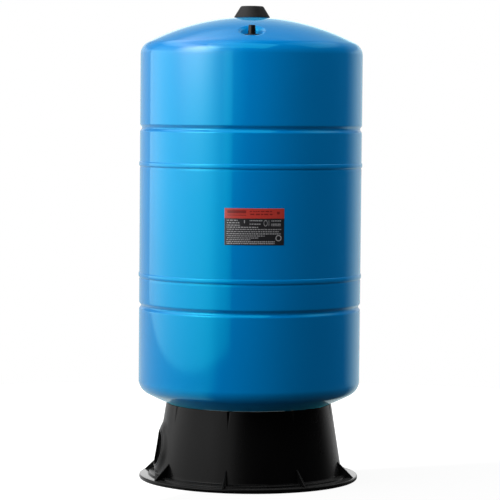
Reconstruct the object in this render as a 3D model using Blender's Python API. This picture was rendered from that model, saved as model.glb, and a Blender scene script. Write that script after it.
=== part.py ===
"""Vertical well pressure tank of about 76 litres, free standing on a moulded stand.

The shell is three pieces of sheet steel: two dished heads and a rolled band between them,
lap welded where each upper sheet overlaps a stepped-in lower one. A rubber bladder hangs
inside. Its mouth is clamped under the tank between a welded neck flange and a bolted
counter flange that carries the water nipple, and its top is held by a stud through the
crown, whose nut is under the black centre cap. The air valve stands in a stamped recess
in the front of the dome. The tank rests on the rim of a conical plastic stand.

Metres, +Z up, the front faces -Y, the origin is under the centre of the stand.
"""
import bpy
import bmesh
from math import asin, atan2, cos, pi, radians, sin, sqrt, tan
from mathutils import Matrix

# Shell
tank_radius = 0.195
sheet = 0.0015
crown_radius = 0.390
knuckle_radius = 0.025
upper_skirt = 0.19565
band_height = 0.19455
lower_skirt = 0.1813

# Rolled grooves, each measured from the tangent line of its own head
upper_groove_drop = 0.1283
lower_groove_rise = 0.1314
groove_width = 0.014
groove_depth = 0.0033

# Lap joints
lap_length = 0.013
bead_height = 0.0095
bead_proud = 0.0013
step_length = 0.0055

# Clearance between pieces that touch
fit = 0.0003

# Top fitting, from the shell upwards
crown_flat_radius = 0.020
stud_radius = 0.0080
stud_plate_radius = 0.024
stud_plate_thickness = 0.003
boss_thickness = 0.006
seal_radius = 0.0165
seal_thickness = 0.002
washer_radius = 0.0150
washer_thickness = 0.002
nut_across_flats = 0.024
nut_height = 0.008
stud_beyond_nut = 0.0015

# Centre cap
cap_foot_radius = 0.0317
cap_top_radius = 0.0218
cap_corner_radius = 0.0030
cap_height = 0.0199
cap_wall = 0.0018
cap_collar_wall = 0.0018

# Air valve and the recess it stands in, placed from the widest part of the tank
valve_inset = 0.050
valve_reach = tank_radius - valve_inset
recess_radius = 0.0205
recess_lip = 0.00036
recess_corner = 0.0015
recess_draft = 0.0012
grommet_radius = 0.0135
grommet_flange = 0.0015
grommet_neck_radius = 0.0077
grommet_inner_radius = 0.0115
grommet_inner_flange = 0.002
stem_radius = 0.00475
stem_thread_radius = 0.00385
stem_shoulder = 0.002
stem_thread_length = 0.0100
stem_flange_radius = 0.0090
stem_flange = 0.0022
stem_bore_radius = 0.0027
stem_inlet_radius = 0.0014
stem_inlet_length = 0.002
core_barrel_length = 0.0125
core_bore_radius = 0.0011
pin_radius = 0.0006
pin_travel = 0.0010
poppet_radius = 0.0021
poppet_length = 0.0022
spring_wire_radius = 0.00022
spring_radius = 0.0017
spring_length = 0.0044
spring_turns = 4
spring_facets = 8
pin_tail_rise = 0.0015
dust_cap_foot_radius = 0.0069
dust_cap_top_radius = 0.0062
dust_cap_roof = 0.0020
dust_cap_seal = 0.0012

# Water connection under the tank
neck_radius = 0.045
neck_land_share = 0.45
flange_radius = 0.082
neck_flange_thickness = 0.008
counter_flange_thickness = 0.005
bolt_circle_radius = 0.070
bolt_count = 6
bolt_radius = 0.004
bolt_across_flats = 0.013
bolt_head_height = 0.0055
bolt_collar_radius = 0.0085
bolt_collar = 0.0014
bolt_thread_reach = 0.006
nipple_radius = 0.0167
nipple_wall = 0.0034
nipple_reach = 0.016

# Bladder
bladder_gap = 0.045
bladder_radius = tank_radius - bladder_gap
bladder_wall = 0.002
lip_radius = 0.060
lip_thickness = 0.003
bladder_shoulder = 0.026

# Stand
stand_height = 0.1351
stand_rim_radius = 0.1455
stand_lean = radians(9.0)
stand_wall = 0.0036
stand_flange_radius = 0.1930
stand_flange_thickness = 0.0067
stand_edge = 0.0016
stand_foot_edge = 0.0025
ledge_width = 0.011
ledge_height = 0.0040
gusset_count = 8
first_gusset_angle = radians(-13.5)
gusset_height = 0.024
gusset_reach = 0.0245
gusset_thickness = 0.0026
rib_reach = 0.018
rib_foot_height = 0.050
flute_length = 0.031
flute_half_width = 0.0028
flute_depth = 0.0020
flute_tip_lift = 0.0001
window_angle = radians(-82.0)
window_radius = 0.0280
window_height = 0.0586

# Facets
shell_segments = 32
cap_segments = 20
small_segments = 16
tiny_segments = 10

# Points closer than this are one point
weld_distance = 1e-6

# Colours as linear red, green, blue, with roughness and metallic
finishes = {
    "tank_paint": ((0.010, 0.165, 0.440), 0.18, 0.0),
    "stand_plastic": ((0.018, 0.018, 0.019), 0.38, 0.0),
    "cap_plastic": ((0.028, 0.028, 0.028), 0.45, 0.0),
    "black_rubber": ((0.020, 0.020, 0.020), 0.75, 0.0),
    "bladder_rubber": ((0.030, 0.028, 0.027), 0.80, 0.0),
    "zinc_steel": ((0.560, 0.560, 0.540), 0.35, 1.0),
    "brass": ((0.640, 0.440, 0.160), 0.30, 1.0),
}


def dish(radius, offset=0.0):
    """How far a crown lies below its pole at a radius, for a skin offset inwards."""
    return crown_radius - sqrt((crown_radius - offset) ** 2 - radius ** 2)


# Heights, worked out from the floor up: the tank sits on the rim of its stand
knuckle_angle = asin((tank_radius - knuckle_radius) / (crown_radius - knuckle_radius))
head_depth = crown_radius - (crown_radius - knuckle_radius) * cos(knuckle_angle)
bottom_pole = stand_height + fit - dish(stand_rim_radius)
lower_tangent = bottom_pole + head_depth
lower_lap = lower_tangent + lower_skirt
upper_lap = lower_lap + band_height
upper_tangent = upper_lap + upper_skirt
top_pole = upper_tangent + head_depth
crown_flat = top_pole - dish(crown_flat_radius)
neck_flat_radius = neck_radius + neck_land_share * (flange_radius - neck_radius)
neck_flat = bottom_pole + dish(neck_flat_radius)
recess_floor = top_pole - dish(valve_reach + recess_radius) + recess_lip


def arc(centre_r, centre_z, radius, start, end, steps):
    """Points of a round stretch of outline, from one angle to another, both included."""
    turn = [start + (end - start) * k / steps for k in range(steps + 1)]
    return [(centre_r + radius * cos(a), centre_z + radius * sin(a)) for a in turn]


def head_curve(offset, flat_radius):
    """Points of a dished head as (radius, depth below the pole), pole to tangent line."""
    crown_steps, knuckle_steps = (5, 3) if offset == 0.0 else (3, 3)
    flat_depth = dish(flat_radius) + offset
    first_radius = sqrt((crown_radius - offset) ** 2 - (crown_radius - flat_depth) ** 2)
    start = asin(first_radius / (crown_radius - offset))
    points = []
    for k in range(crown_steps + 1):
        a = start + (knuckle_angle - start) * k / crown_steps
        reach = crown_radius - offset
        points.append((reach * sin(a), crown_radius - reach * cos(a)))
    for k in range(1, knuckle_steps + 1):
        a = knuckle_angle + (pi / 2 - knuckle_angle) * k / knuckle_steps
        reach = knuckle_radius - offset
        points.append((tank_radius - knuckle_radius + reach * sin(a), head_depth - reach * cos(a)))
    return points


def groove_curve(middle, radius):
    """A rolled groove as one wave of a cosine, from top to bottom."""
    steps = 6 if radius == tank_radius else 2
    points = []
    for k in range(steps + 1):
        t = k / steps
        dip = groove_depth * (0.5 - 0.5 * cos(2 * pi * t))
        points.append((radius - dip, middle + groove_width * (0.5 - t)))
    return points


def bead_curve(edge):
    """The weld bead along the lower edge of an overlapping sheet, from top to bottom."""
    middle = edge + bead_height / 2
    turn = [pi / 2 - pi * k / 3 for k in range(4)]
    return [(tank_radius + bead_proud * cos(a), middle + bead_height / 2 * sin(a)) for a in turn]


def step_curves(edge):
    """The stepped-in end of a lower sheet: its outer skin upwards, then its inner skin down."""
    inside = tank_radius - sheet - fit
    outer = [(tank_radius, edge - step_length), (tank_radius - 0.25 * sheet, edge - 0.6 * step_length)]
    outer += [(inside, edge - fit), (inside, edge + lap_length)]
    inner = [(inside - sheet, edge + lap_length), (inside - sheet, edge - fit - 0.3 * sheet)]
    inner += [(tank_radius - sheet, edge - step_length - 0.3 * sheet)]
    return outer, inner


def material(slot):
    """One Principled material per finish, made once."""
    found = bpy.data.materials.get(slot)
    if found:
        return found
    colour, roughness, metallic = finishes[slot]
    new = bpy.data.materials.new(slot)
    new.use_nodes = True
    shader = new.node_tree.nodes["Principled BSDF"]
    shader.inputs["Base Color"].default_value = (*colour, 1.0)
    shader.inputs["Roughness"].default_value = roughness
    shader.inputs["Metallic"].default_value = metallic
    return new


def finish_piece(name, mesh_data, slot, place=None, sharp=radians(28)):
    """Turn a bmesh into a named, shaded object with its faces pointing out."""
    bmesh.ops.remove_doubles(mesh_data, verts=mesh_data.verts, dist=weld_distance)
    bmesh.ops.recalc_face_normals(mesh_data, faces=mesh_data.faces)
    mesh = bpy.data.meshes.new(name)
    mesh_data.to_mesh(mesh)
    mesh_data.free()
    mesh.shade_smooth()
    mesh.set_sharp_from_angle(angle=sharp)
    if slot:
        mesh.materials.append(material(slot))
    piece = bpy.data.objects.new(name, mesh)
    bpy.context.scene.collection.objects.link(piece)
    if place is not None:
        piece.matrix_world = place
    return piece


def turned(name, outline, slot, segments=shell_segments, place=None):
    """Spin a closed outline of (radius, height) points about the vertical axis."""
    mesh_data = bmesh.new()
    corners = [mesh_data.verts.new((r, 0.0, z)) for r, z in outline]
    loop = zip(corners, corners[1:] + corners[:1])
    edges = [mesh_data.edges.new(pair) for pair in loop if pair[0].co.x + pair[1].co.x > weld_distance]
    bmesh.ops.spin(mesh_data, geom=corners + edges, cent=(0, 0, 0), axis=(0, 0, 1),
                   angle=2 * pi, steps=segments, use_merge=True)
    return finish_piece(name, mesh_data, slot, place)


def prism(name, corners, thickness, slot, place=None):
    """A flat outline in the XZ plane, given thickness evenly to both sides along Y."""
    mesh_data = bmesh.new()
    near = [mesh_data.verts.new((x, -thickness / 2, z)) for x, z in corners]
    far = [mesh_data.verts.new((x, thickness / 2, z)) for x, z in corners]
    mesh_data.faces.new(near)
    mesh_data.faces.new(far[::-1])
    for k in range(len(corners)):
        after = (k + 1) % len(corners)
        mesh_data.faces.new((near[after], near[k], far[k], far[after]))
    return finish_piece(name, mesh_data, slot, place)


def combine(target, tool, operation):
    """Cut a hidden tool from a piece, or weld it on, with an exact Boolean."""
    tool.hide_render = True
    tool.display_type = "WIRE"
    step = target.modifiers.new(tool.name, "BOOLEAN")
    step.operation = operation
    step.solver = "EXACT"
    step.object = tool


def around(angle):
    """A turn about the tank's axis that takes local +X to an angle from the front."""
    return Matrix.Rotation(angle - pi / 2, 4, "Z")


def at_valve():
    return Matrix.Translation((0.0, -valve_reach, 0.0))


def hexagon_bar(name, across_flats, bottom, top, slot, place=None):
    """A six-sided bar between two heights, closed at both ends."""
    reach = across_flats / sqrt(3)
    turns = [k * pi / 3 for k in range(6)]
    mesh_data = bmesh.new()
    low = [mesh_data.verts.new((reach * cos(a), reach * sin(a), bottom)) for a in turns]
    high = [mesh_data.verts.new((reach * cos(a), reach * sin(a), top)) for a in turns]
    mesh_data.faces.new(low[::-1])
    mesh_data.faces.new(high)
    for k in range(6):
        after = (k + 1) % 6
        mesh_data.faces.new((low[k], low[after], high[after], high[k]))
    return finish_piece(name, mesh_data, slot, place)


# The three sheets of the shell

def make_upper_head():
    """Dome, knuckle, skirt with its groove, and the bead along the lower edge."""
    groove = upper_tangent - upper_groove_drop
    stud_hole = stud_radius + fit
    outer = [(stud_hole, crown_flat)]
    outer += [(r, top_pole - d) for r, d in head_curve(0.0, crown_flat_radius)]
    outer += groove_curve(groove, tank_radius)
    outer += bead_curve(upper_lap)
    outer += [(stud_hole, upper_lap)]
    head = turned("upper_head", outer, "tank_paint")
    inner = [(0.0, crown_flat - sheet)]
    inner += [(r, top_pole - d) for r, d in head_curve(sheet, crown_flat_radius)]
    inner += groove_curve(groove, tank_radius - sheet)
    inner += [(tank_radius - sheet, upper_lap - sheet), (0.0, upper_lap - sheet)]
    hollow = turned("upper_head_hollow", inner, None)
    cup = turned("recess_cup", [(0.0, recess_floor - sheet)] + recess_curve(sheet), None,
                 small_segments, at_valve())
    valve_hole = grommet_neck_radius + fit
    drill = [(0.0, recess_floor - 3 * sheet), (valve_hole, recess_floor - 3 * sheet)]
    drill += [(valve_hole, recess_floor)]
    dimple = turned("recess_tool", drill + recess_curve(0.0), None, small_segments, at_valve())
    combine(hollow, cup, "DIFFERENCE")
    combine(head, dimple, "DIFFERENCE")
    combine(head, hollow, "DIFFERENCE")


def recess_curve(grow):
    """Side of the stamped recess, floor corner to mouth, grown by the sheet for its back."""
    mouth = top_pole - dish(valve_reach - recess_radius) + recess_radius / 2
    lean = recess_draft / (mouth - recess_floor)
    radius = recess_radius + grow - lean * recess_corner
    floor = recess_floor - grow
    outline = [(radius - recess_corner, floor), (radius, floor + recess_corner)]
    outline += [(recess_radius + grow + recess_draft, mouth + grow), (0.0, mouth + grow)]
    return outline


def make_shell_band():
    """The rolled band: stepped in at the top, beaded along its lower edge."""
    outer, inner = step_curves(upper_lap)
    outline = outer + inner
    outline += [(tank_radius - sheet, lower_lap)]
    outline += bead_curve(lower_lap)[::-1]
    turned("shell_band", outline, "tank_paint")


def make_lower_head():
    """The same pressing upside down, stepped in at the top, open at its neck."""
    groove = lower_tangent + lower_groove_rise
    outer, inner = step_curves(lower_lap)
    outline = outer + inner
    outline += groove_curve(groove, tank_radius - sheet)
    outline += [(r, bottom_pole + d) for r, d in head_curve(sheet, neck_flat_radius)][::-1]
    outline += [(neck_radius, neck_flat + sheet), (neck_radius, neck_flat)]
    outline += [(r, bottom_pole + d) for r, d in head_curve(0.0, neck_flat_radius)]
    outline += groove_curve(groove, tank_radius)[::-1]
    turned("lower_head", outline, "tank_paint")


# Top fitting and centre cap

seal_foot = crown_flat + fit
washer_foot = seal_foot + seal_thickness + fit
nut_foot = washer_foot + washer_thickness + fit
stud_top = nut_foot + nut_height + stud_beyond_nut
boss_top = crown_flat - sheet - fit
plate_top = boss_top - boss_thickness - fit


def ring(name, inner_radius, outer_radius, bottom, top, slot, segments, place=None):
    """A flat ring between two radii and two heights."""
    outline = [(inner_radius, bottom), (outer_radius, bottom)]
    outline += [(outer_radius, top), (inner_radius, top)]
    return turned(name, outline, slot, segments, place)


def hex_nut(name, bore, across_flats, bottom, height, slot, bore_segments):
    """A hexagon nut with its bore cut through."""
    nut = hexagon_bar(name, across_flats, bottom, bottom + height, slot)
    drill = [(0.0, bottom - height), (bore, bottom - height)]
    drill += [(bore, bottom + 2 * height), (0.0, bottom + 2 * height)]
    combine(nut, turned(name + "_drill", drill, None, bore_segments), "DIFFERENCE")


def make_top_fitting():
    """The stud that holds the bladder's crown, with its seal, washer and nut."""
    plate_foot = plate_top - stud_plate_thickness
    outline = [(0.0, plate_foot), (stud_plate_radius, plate_foot), (stud_plate_radius, plate_top)]
    outline += [(stud_radius, plate_top), (stud_radius, stud_top - stud_radius / 8)]
    outline += [(stud_radius * 7 / 8, stud_top), (0.0, stud_top)]
    turned("bladder_stud", outline, "zinc_steel", small_segments)
    hole = stud_radius + fit
    ring("top_seal", hole, seal_radius, seal_foot, seal_foot + seal_thickness,
         "black_rubber", small_segments)
    ring("top_washer", hole, washer_radius, washer_foot, washer_foot + washer_thickness,
         "zinc_steel", small_segments)
    hex_nut("top_nut", hole, nut_across_flats, nut_foot, nut_height, "zinc_steel", small_segments)


def make_top_cap():
    """A hollow cone frustum with a round top corner; a collar inside grips the nut."""
    foot = top_pole - dish(cap_foot_radius) + fit
    top = foot + cap_height
    lean = atan2(cap_foot_radius - cap_top_radius, cap_height - cap_corner_radius)
    corner_centre = (cap_top_radius - cap_corner_radius * cos(lean),
                     top - cap_corner_radius)
    outline = [(cap_foot_radius - cap_wall / cos(lean), foot), (cap_foot_radius, foot)]
    outline += arc(*corner_centre, cap_corner_radius, lean, pi / 2, 4)
    outline += [(0.0, top), (0.0, top - cap_wall)]
    grip = nut_across_flats / sqrt(3) + fit
    collar = grip + cap_collar_wall
    outline += [(grip, top - cap_wall), (grip, nut_foot)]
    outline += [(collar, nut_foot), (collar, top - 2 * cap_wall)]
    turned("top_cap", outline, "cap_plastic", cap_segments)


# Air valve

grommet_top = recess_floor + fit + grommet_flange
inner_flange_top = recess_floor - sheet - fit
inner_flange_foot = inner_flange_top - grommet_inner_flange
stem_flange_top = inner_flange_foot - fit
stem_foot = stem_flange_top - stem_flange - stem_inlet_length
stem_shoulder_top = grommet_top + stem_shoulder
stem_top = stem_shoulder_top + stem_thread_length
spring_foot = stem_foot + stem_inlet_length + fit
poppet_foot = spring_foot + spring_length + fit
poppet_top = poppet_foot + poppet_length
barrel_foot = poppet_top + fit
barrel_top = barrel_foot + core_barrel_length
pin_top = stem_top - fit


def make_grommet():
    """A rubber grommet that grips the edge of the hole in the recess floor."""
    bore = stem_radius + fit
    outline = [(bore, inner_flange_foot), (grommet_inner_radius, inner_flange_foot)]
    outline += [(grommet_inner_radius, inner_flange_top), (grommet_neck_radius, inner_flange_top)]
    outline += [(grommet_neck_radius, recess_floor + fit), (grommet_radius, recess_floor + fit)]
    outline += [(grommet_radius, grommet_top - grommet_flange / 3)]
    outline += [(grommet_radius - grommet_flange / 3, grommet_top), (bore, grommet_top)]
    turned("valve_grommet", outline, "black_rubber", small_segments, at_valve())


def make_stem():
    """A brass stem, its flange held against the grommet by the air inside the tank."""
    flange_foot = stem_flange_top - stem_flange
    outline = [(stem_inlet_radius, stem_foot), (stem_radius, stem_foot), (stem_radius, flange_foot)]
    outline += [(stem_flange_radius, flange_foot), (stem_flange_radius, stem_flange_top)]
    outline += [(stem_radius, stem_flange_top), (stem_radius, stem_shoulder_top)]
    outline += [(stem_thread_radius, stem_shoulder_top), (stem_thread_radius, stem_top)]
    outline += [(stem_bore_radius, stem_top), (stem_bore_radius, spring_foot - fit)]
    outline += [(stem_inlet_radius, spring_foot - fit)]
    turned("valve_stem", outline, "brass", tiny_segments, at_valve())


def make_core():
    """The valve core: a barrel screwed into the stem, and the sprung pin in it."""
    ring("valve_core_barrel", core_bore_radius, stem_bore_radius - fit, barrel_foot, barrel_top,
         "brass", tiny_segments, at_valve())
    tail = spring_foot + pin_tail_rise + pin_travel
    outline = [(0.0, tail), (pin_radius, tail), (pin_radius, poppet_foot)]
    outline += [(poppet_radius, poppet_foot), (poppet_radius, poppet_top)]
    outline += [(pin_radius, poppet_top), (pin_radius, pin_top), (0.0, pin_top)]
    turned("valve_pin", outline, "brass", tiny_segments, at_valve())


def make_spring():
    """The core's spring: wire of four sides swept along a helix."""
    mesh_data = bmesh.new()
    steps = spring_facets * spring_turns
    climb = spring_length - 2 * spring_wire_radius
    rings = []
    for k in range(steps + 1):
        turn = 2 * pi * spring_turns * k / steps
        height = spring_foot + spring_wire_radius + climb * k / steps
        corners = []
        for side in range(4):
            a = side * pi / 2
            reach = spring_radius + spring_wire_radius * cos(a)
            rise = height + spring_wire_radius * sin(a)
            corners.append(mesh_data.verts.new((reach * cos(turn), reach * sin(turn), rise)))
        rings.append(corners)
    for low, high in zip(rings, rings[1:]):
        for side in range(4):
            after = (side + 1) % 4
            mesh_data.faces.new((low[side], low[after], high[after], high[side]))
    mesh_data.faces.new(rings[0][::-1])
    mesh_data.faces.new(rings[-1])
    finish_piece("valve_spring", mesh_data, "zinc_steel", at_valve())


def make_dust_cap():
    """A tapered screw cap, and the rubber disc in its roof."""
    foot = grommet_top + fit
    seal_bottom = stem_top + fit
    roof = seal_bottom + dust_cap_seal + fit
    top = roof + dust_cap_roof
    bore = stem_radius + fit
    thread = stem_thread_radius + fit
    step = stem_shoulder_top + fit
    edge = dust_cap_roof / 3
    outline = [(bore, foot), (dust_cap_foot_radius, foot), (dust_cap_top_radius, top - edge)]
    outline += [(dust_cap_top_radius - edge, top), (0.0, top), (0.0, roof), (thread, roof)]
    outline += [(thread, step), (bore, step)]
    turned("valve_cap", outline, "cap_plastic", small_segments, at_valve())
    outline = [(0.0, seal_bottom), (stem_thread_radius, seal_bottom)]
    outline += [(stem_thread_radius, seal_bottom + dust_cap_seal), (0.0, seal_bottom + dust_cap_seal)]
    turned("valve_cap_seal", outline, "black_rubber", tiny_segments, at_valve())


# Water connection

neck_flange_top = neck_flat - fit
neck_flange_foot = neck_flange_top - neck_flange_thickness
lip_top = neck_flange_foot - fit
lip_foot = lip_top - lip_thickness
counter_top = lip_foot - fit
counter_foot = counter_top - counter_flange_thickness
nipple_foot = counter_foot - nipple_reach


def bolt_places():
    """Where the bolts stand, one turn of the circle."""
    turns = [2 * pi * (k + 0.5) / bolt_count for k in range(bolt_count)]
    reach = bolt_circle_radius
    return [Matrix.Translation((reach * cos(a), reach * sin(a), 0.0)) for a in turns]


def make_flanges():
    """The welded neck flange, the counter flange under it and the nipple through it."""
    neck = ring("neck_flange", neck_radius, flange_radius, neck_flange_foot, neck_flange_top,
                "tank_paint", cap_segments)
    counter = ring("counter_flange", nipple_radius + fit, flange_radius, counter_foot, counter_top,
                   "zinc_steel", cap_segments)
    hole = bolt_radius + fit
    for number, place in enumerate(bolt_places(), start=1):
        drill = [(0.0, counter_foot - sheet), (hole, counter_foot - sheet)]
        drill += [(hole, neck_flange_top + sheet), (0.0, neck_flange_top + sheet)]
        tool = turned(f"bolt_drill_{number}", drill, None, tiny_segments, place)
        combine(neck, tool, "DIFFERENCE")
        combine(counter, tool, "DIFFERENCE")
    bore = nipple_radius - nipple_wall
    edge = nipple_wall / 3
    outline = [(bore, nipple_foot), (nipple_radius - edge, nipple_foot)]
    outline += [(nipple_radius, nipple_foot + edge), (nipple_radius, counter_top)]
    outline += [(bore, counter_top)]
    turned("water_nipple", outline, "zinc_steel", cap_segments)


def make_bolts():
    """Flanged hexagon bolts from below, screwed into the neck flange."""
    collar_top = counter_foot - fit
    head_top = collar_top - bolt_collar
    head_foot = head_top - bolt_head_height
    tip = neck_flange_foot + bolt_thread_reach
    for number, place in enumerate(bolt_places(), start=1):
        name = f"flange_bolt_{number}"
        bolt = hexagon_bar(name, bolt_across_flats, head_foot, head_top, "zinc_steel", place)
        outline = [(0.0, tip), (bolt_radius, tip), (bolt_radius, collar_top)]
        outline += [(bolt_collar_radius, collar_top), (bolt_collar_radius, head_top - fit)]
        outline += [(0.0, head_top - fit)]
        tool = turned(f"bolt_shank_{number}", outline, None, tiny_segments, place)
        combine(bolt, tool, "UNION")


def make_bladder():
    """The moulded bladder: boss at the crown, long bag, and the clamped lip of its mouth."""
    shoulder = upper_tangent - bladder_shoulder
    heel = lower_tangent + bladder_shoulder
    hole = stud_radius + fit
    throat = neck_radius * cos(pi / cap_segments) - fit

    def skin(inset):
        radius = bladder_radius - inset
        boss = stud_plate_radius + boss_thickness - inset
        crown = []
        for k in range(5):
            a = pi / 2 - pi / 2 * k / 4
            crown.append((boss + (radius - boss) * cos(a),
                          shoulder + (boss_top - boss_thickness / 2 - inset - shoulder) * sin(a)))
        base = []
        neck = throat - inset
        for k in range(5):
            a = -pi / 2 * k / 4
            base.append((neck + (radius - neck) * cos(a),
                         heel + (heel - neck_flat - 2 * sheet - inset) * sin(a)))
        return crown + base
    outer = [(hole, boss_top), (crown_flat_radius, boss_top)] + skin(0.0)
    outer += [(throat, lip_top), (lip_radius, lip_top), (lip_radius, lip_foot)]
    inner = [(throat - bladder_wall, lip_foot)] + skin(bladder_wall)[::-1]
    inner += [(stud_plate_radius, boss_top - boss_thickness), (hole, boss_top - boss_thickness)]
    turned("bladder", outer + inner, "bladder_rubber", small_segments)


# Stand

def stand_radius(height, inset=0.0):
    """Radius of the stand's conical wall at a height, measured square to the wall."""
    return stand_rim_radius + (stand_height - height) * tan(stand_lean) - inset / cos(stand_lean)


def seat(radius):
    """Height of the tank's underside at a radius, less the clearance."""
    return bottom_pole + dish(radius) - fit


def make_stand():
    """One moulding: conical wall, ledge and flange, with gussets outside and ribs inside."""
    rim_inner = stand_rim_radius - stand_wall
    top_of_flange = stand_flange_thickness
    ledge_top = top_of_flange + ledge_height
    ledge_radius = stand_radius(ledge_top) + ledge_width
    edge = stand_edge
    outline = [(rim_inner, seat(rim_inner)), (stand_rim_radius, seat(stand_rim_radius))]
    outline += [(stand_radius(ledge_top), ledge_top)]
    outline += [(ledge_radius - edge, ledge_top), (ledge_radius, ledge_top - edge)]
    outline += [(ledge_radius, top_of_flange), (stand_flange_radius - edge, top_of_flange)]
    outline += [(stand_flange_radius, top_of_flange - edge), (stand_flange_radius, stand_foot_edge)]
    outline += [(stand_flange_radius - stand_foot_edge, 0.0), (stand_radius(0.0, stand_wall), 0.0)]
    stand = turned("stand", outline[::-1], "stand_plastic")
    for k in range(gusset_count):
        combine(stand, make_flute(k), "DIFFERENCE")
    bite = stand_wall / 2
    for k in range(gusset_count):
        angle = first_gusset_angle + 2 * pi * k / gusset_count
        tip = ledge_top + gusset_height
        reach = stand_radius(top_of_flange) + gusset_reach
        corners = [(stand_radius(tip, bite), tip), (stand_radius(tip), tip)]
        corners += [(reach, top_of_flange), (reach, top_of_flange - bite)]
        corners += [(stand_radius(0.0, bite), top_of_flange - bite)]
        gusset = prism(f"gusset_{k + 1}", corners, gusset_thickness, None, around(angle))
        combine(stand, gusset, "UNION")
        inside = stand_rim_radius - stand_wall - rib_reach
        corners = [(inside, rib_foot_height + rib_reach), (inside, seat(inside))]
        corners += [(rim_inner, seat(rim_inner)), (stand_rim_radius - bite, seat(rim_inner))]
        corners += [(stand_radius(rib_foot_height, bite), rib_foot_height)]
        corners += [(stand_radius(rib_foot_height, stand_wall), rib_foot_height)]
        rib = prism(f"rib_{k + 1}", corners, gusset_thickness, None, around(angle))
        combine(stand, rib, "UNION")
    out = Matrix.Rotation(stand_lean, 4, "Y").inverted() @ Matrix.Rotation(pi / 2, 4, "Y")
    middle = Matrix.Translation((stand_radius(window_height), 0.0, window_height))
    place = around(window_angle) @ middle @ out
    bore = [(0.0, -window_radius), (window_radius, -window_radius)]
    bore += [(window_radius, window_radius), (0.0, window_radius)]
    combine(stand, turned("window_drill", bore, None, cap_segments, place), "DIFFERENCE")


def make_flute(number):
    """A three-sided tool for one V flute, deepest at the rim and fading out below."""
    angle = first_gusset_angle + 2 * pi * number / gusset_count
    top = stand_height + flute_depth
    foot = stand_height - flute_length
    reach = stand_radius(top) + flute_depth
    wide = 2 * flute_half_width
    mesh_data = bmesh.new()
    tip = mesh_data.verts.new((stand_radius(foot) + flute_tip_lift, 0.0, foot))
    root = mesh_data.verts.new((stand_radius(top) - flute_depth, 0.0, top))
    left = mesh_data.verts.new((reach, -wide, top))
    right = mesh_data.verts.new((reach, wide, top))
    for corners in ((tip, root, left), (tip, right, root), (tip, left, right), (root, right, left)):
        mesh_data.faces.new(corners)
    return finish_piece(f"flute_{number + 1}", mesh_data, None, around(angle))


def main():
    for old in list(bpy.data.objects):
        bpy.data.objects.remove(old, do_unlink=True)
    make_upper_head()
    make_shell_band()
    make_lower_head()
    make_top_fitting()
    make_top_cap()
    make_grommet()
    make_stem()
    make_core()
    make_spring()
    make_dust_cap()
    make_flanges()
    make_bolts()
    make_bladder()
    make_stand()


main()
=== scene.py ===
"""Looks of an upright well pressure tank: glossy blue enamel on drawn steel, a black moulded
stand, black caps and a small printed plate, lit as a plain studio product picture.

Metres, +Z up, the front faces -Y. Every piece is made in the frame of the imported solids.
"""

# %% [markdown]
# The imported tank is the fixed frame of this picture. It gives the real places of every piece, so sizes here
# are read from it or named once in metres.

# %% Load the imported tank
from math import asin, cos, pi, radians, sin, sqrt, tan

import bmesh
import bpy
import numpy as np
from mathutils import Matrix, Vector


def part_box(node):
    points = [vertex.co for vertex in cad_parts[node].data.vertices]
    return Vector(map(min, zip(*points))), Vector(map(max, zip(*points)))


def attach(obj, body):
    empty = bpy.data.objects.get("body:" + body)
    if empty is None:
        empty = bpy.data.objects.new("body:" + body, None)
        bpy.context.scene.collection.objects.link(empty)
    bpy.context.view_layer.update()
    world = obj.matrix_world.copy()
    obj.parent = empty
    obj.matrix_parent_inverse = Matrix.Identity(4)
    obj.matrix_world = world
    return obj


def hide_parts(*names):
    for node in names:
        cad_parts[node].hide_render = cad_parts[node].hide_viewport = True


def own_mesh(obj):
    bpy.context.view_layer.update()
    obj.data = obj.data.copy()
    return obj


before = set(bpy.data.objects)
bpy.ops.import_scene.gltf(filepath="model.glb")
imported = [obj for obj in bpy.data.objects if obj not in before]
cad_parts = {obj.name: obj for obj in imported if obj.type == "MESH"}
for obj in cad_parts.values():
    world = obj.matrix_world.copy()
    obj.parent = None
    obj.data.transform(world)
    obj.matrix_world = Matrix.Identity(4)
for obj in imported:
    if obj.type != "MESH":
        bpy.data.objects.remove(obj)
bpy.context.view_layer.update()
scene = bpy.context.scene

# %% [markdown]
# The photograph was taken with a long lens from a little above the middle of the tank. A
# pinhole camera fitted to the seams, grooves and domes gives its place, its slight dip and
# a half degree of roll. The longer the lens, the flatter the rings of the tank look, so
# the focal length matters as much as the place.

# %% Camera
camera_distance = 4.231
camera_height = 0.6469
camera_dip = 0.0575
camera_roll = 0.0088
lens_mm = 172.96
sensor_mm = 36.0

eye = bpy.data.cameras.new("camera")
eye.lens = lens_mm
eye.sensor_width = sensor_mm
camera = bpy.data.objects.new("camera", eye)
scene.collection.objects.link(camera)
looking = Matrix.Rotation(pi / 2 - camera_dip, 4, "X") @ Matrix.Rotation(camera_roll, 4, "Z")
camera.matrix_world = Matrix.Translation((0, -camera_distance, camera_height)) @ looking
scene.camera = camera
scene.view_settings.view_transform = "Standard"
print("camera stands", camera_distance, "m in front with a lens of", lens_mm, "mm")

# %% [markdown]
# A piece is a mesh with a finish, tied to the body it moves with. Its faces are smooth, and
# only edges where the surface really turns are kept sharp. Where an edge needs a small
# round, a bevel modifier gives it, which is quicker than modelling it on a shape that isn't
# turned on an axis.

# %% Pieces
merge_distance = 1e-7
crease = radians(40)


def add_piece(name, mesh, body, material, sharp_from=crease):
    """An object of a mesh, smooth up to an angle or flat without one, riding on a body."""
    mesh.materials.append(material)
    if sharp_from:
        mesh.shade_smooth()
        mesh.set_sharp_from_angle(angle=sharp_from)
    piece = bpy.data.objects.new(name, mesh)
    scene.collection.objects.link(piece)
    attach(piece, body)
    print("made", name, "of", len(mesh.polygons), "faces")
    return piece


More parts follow.
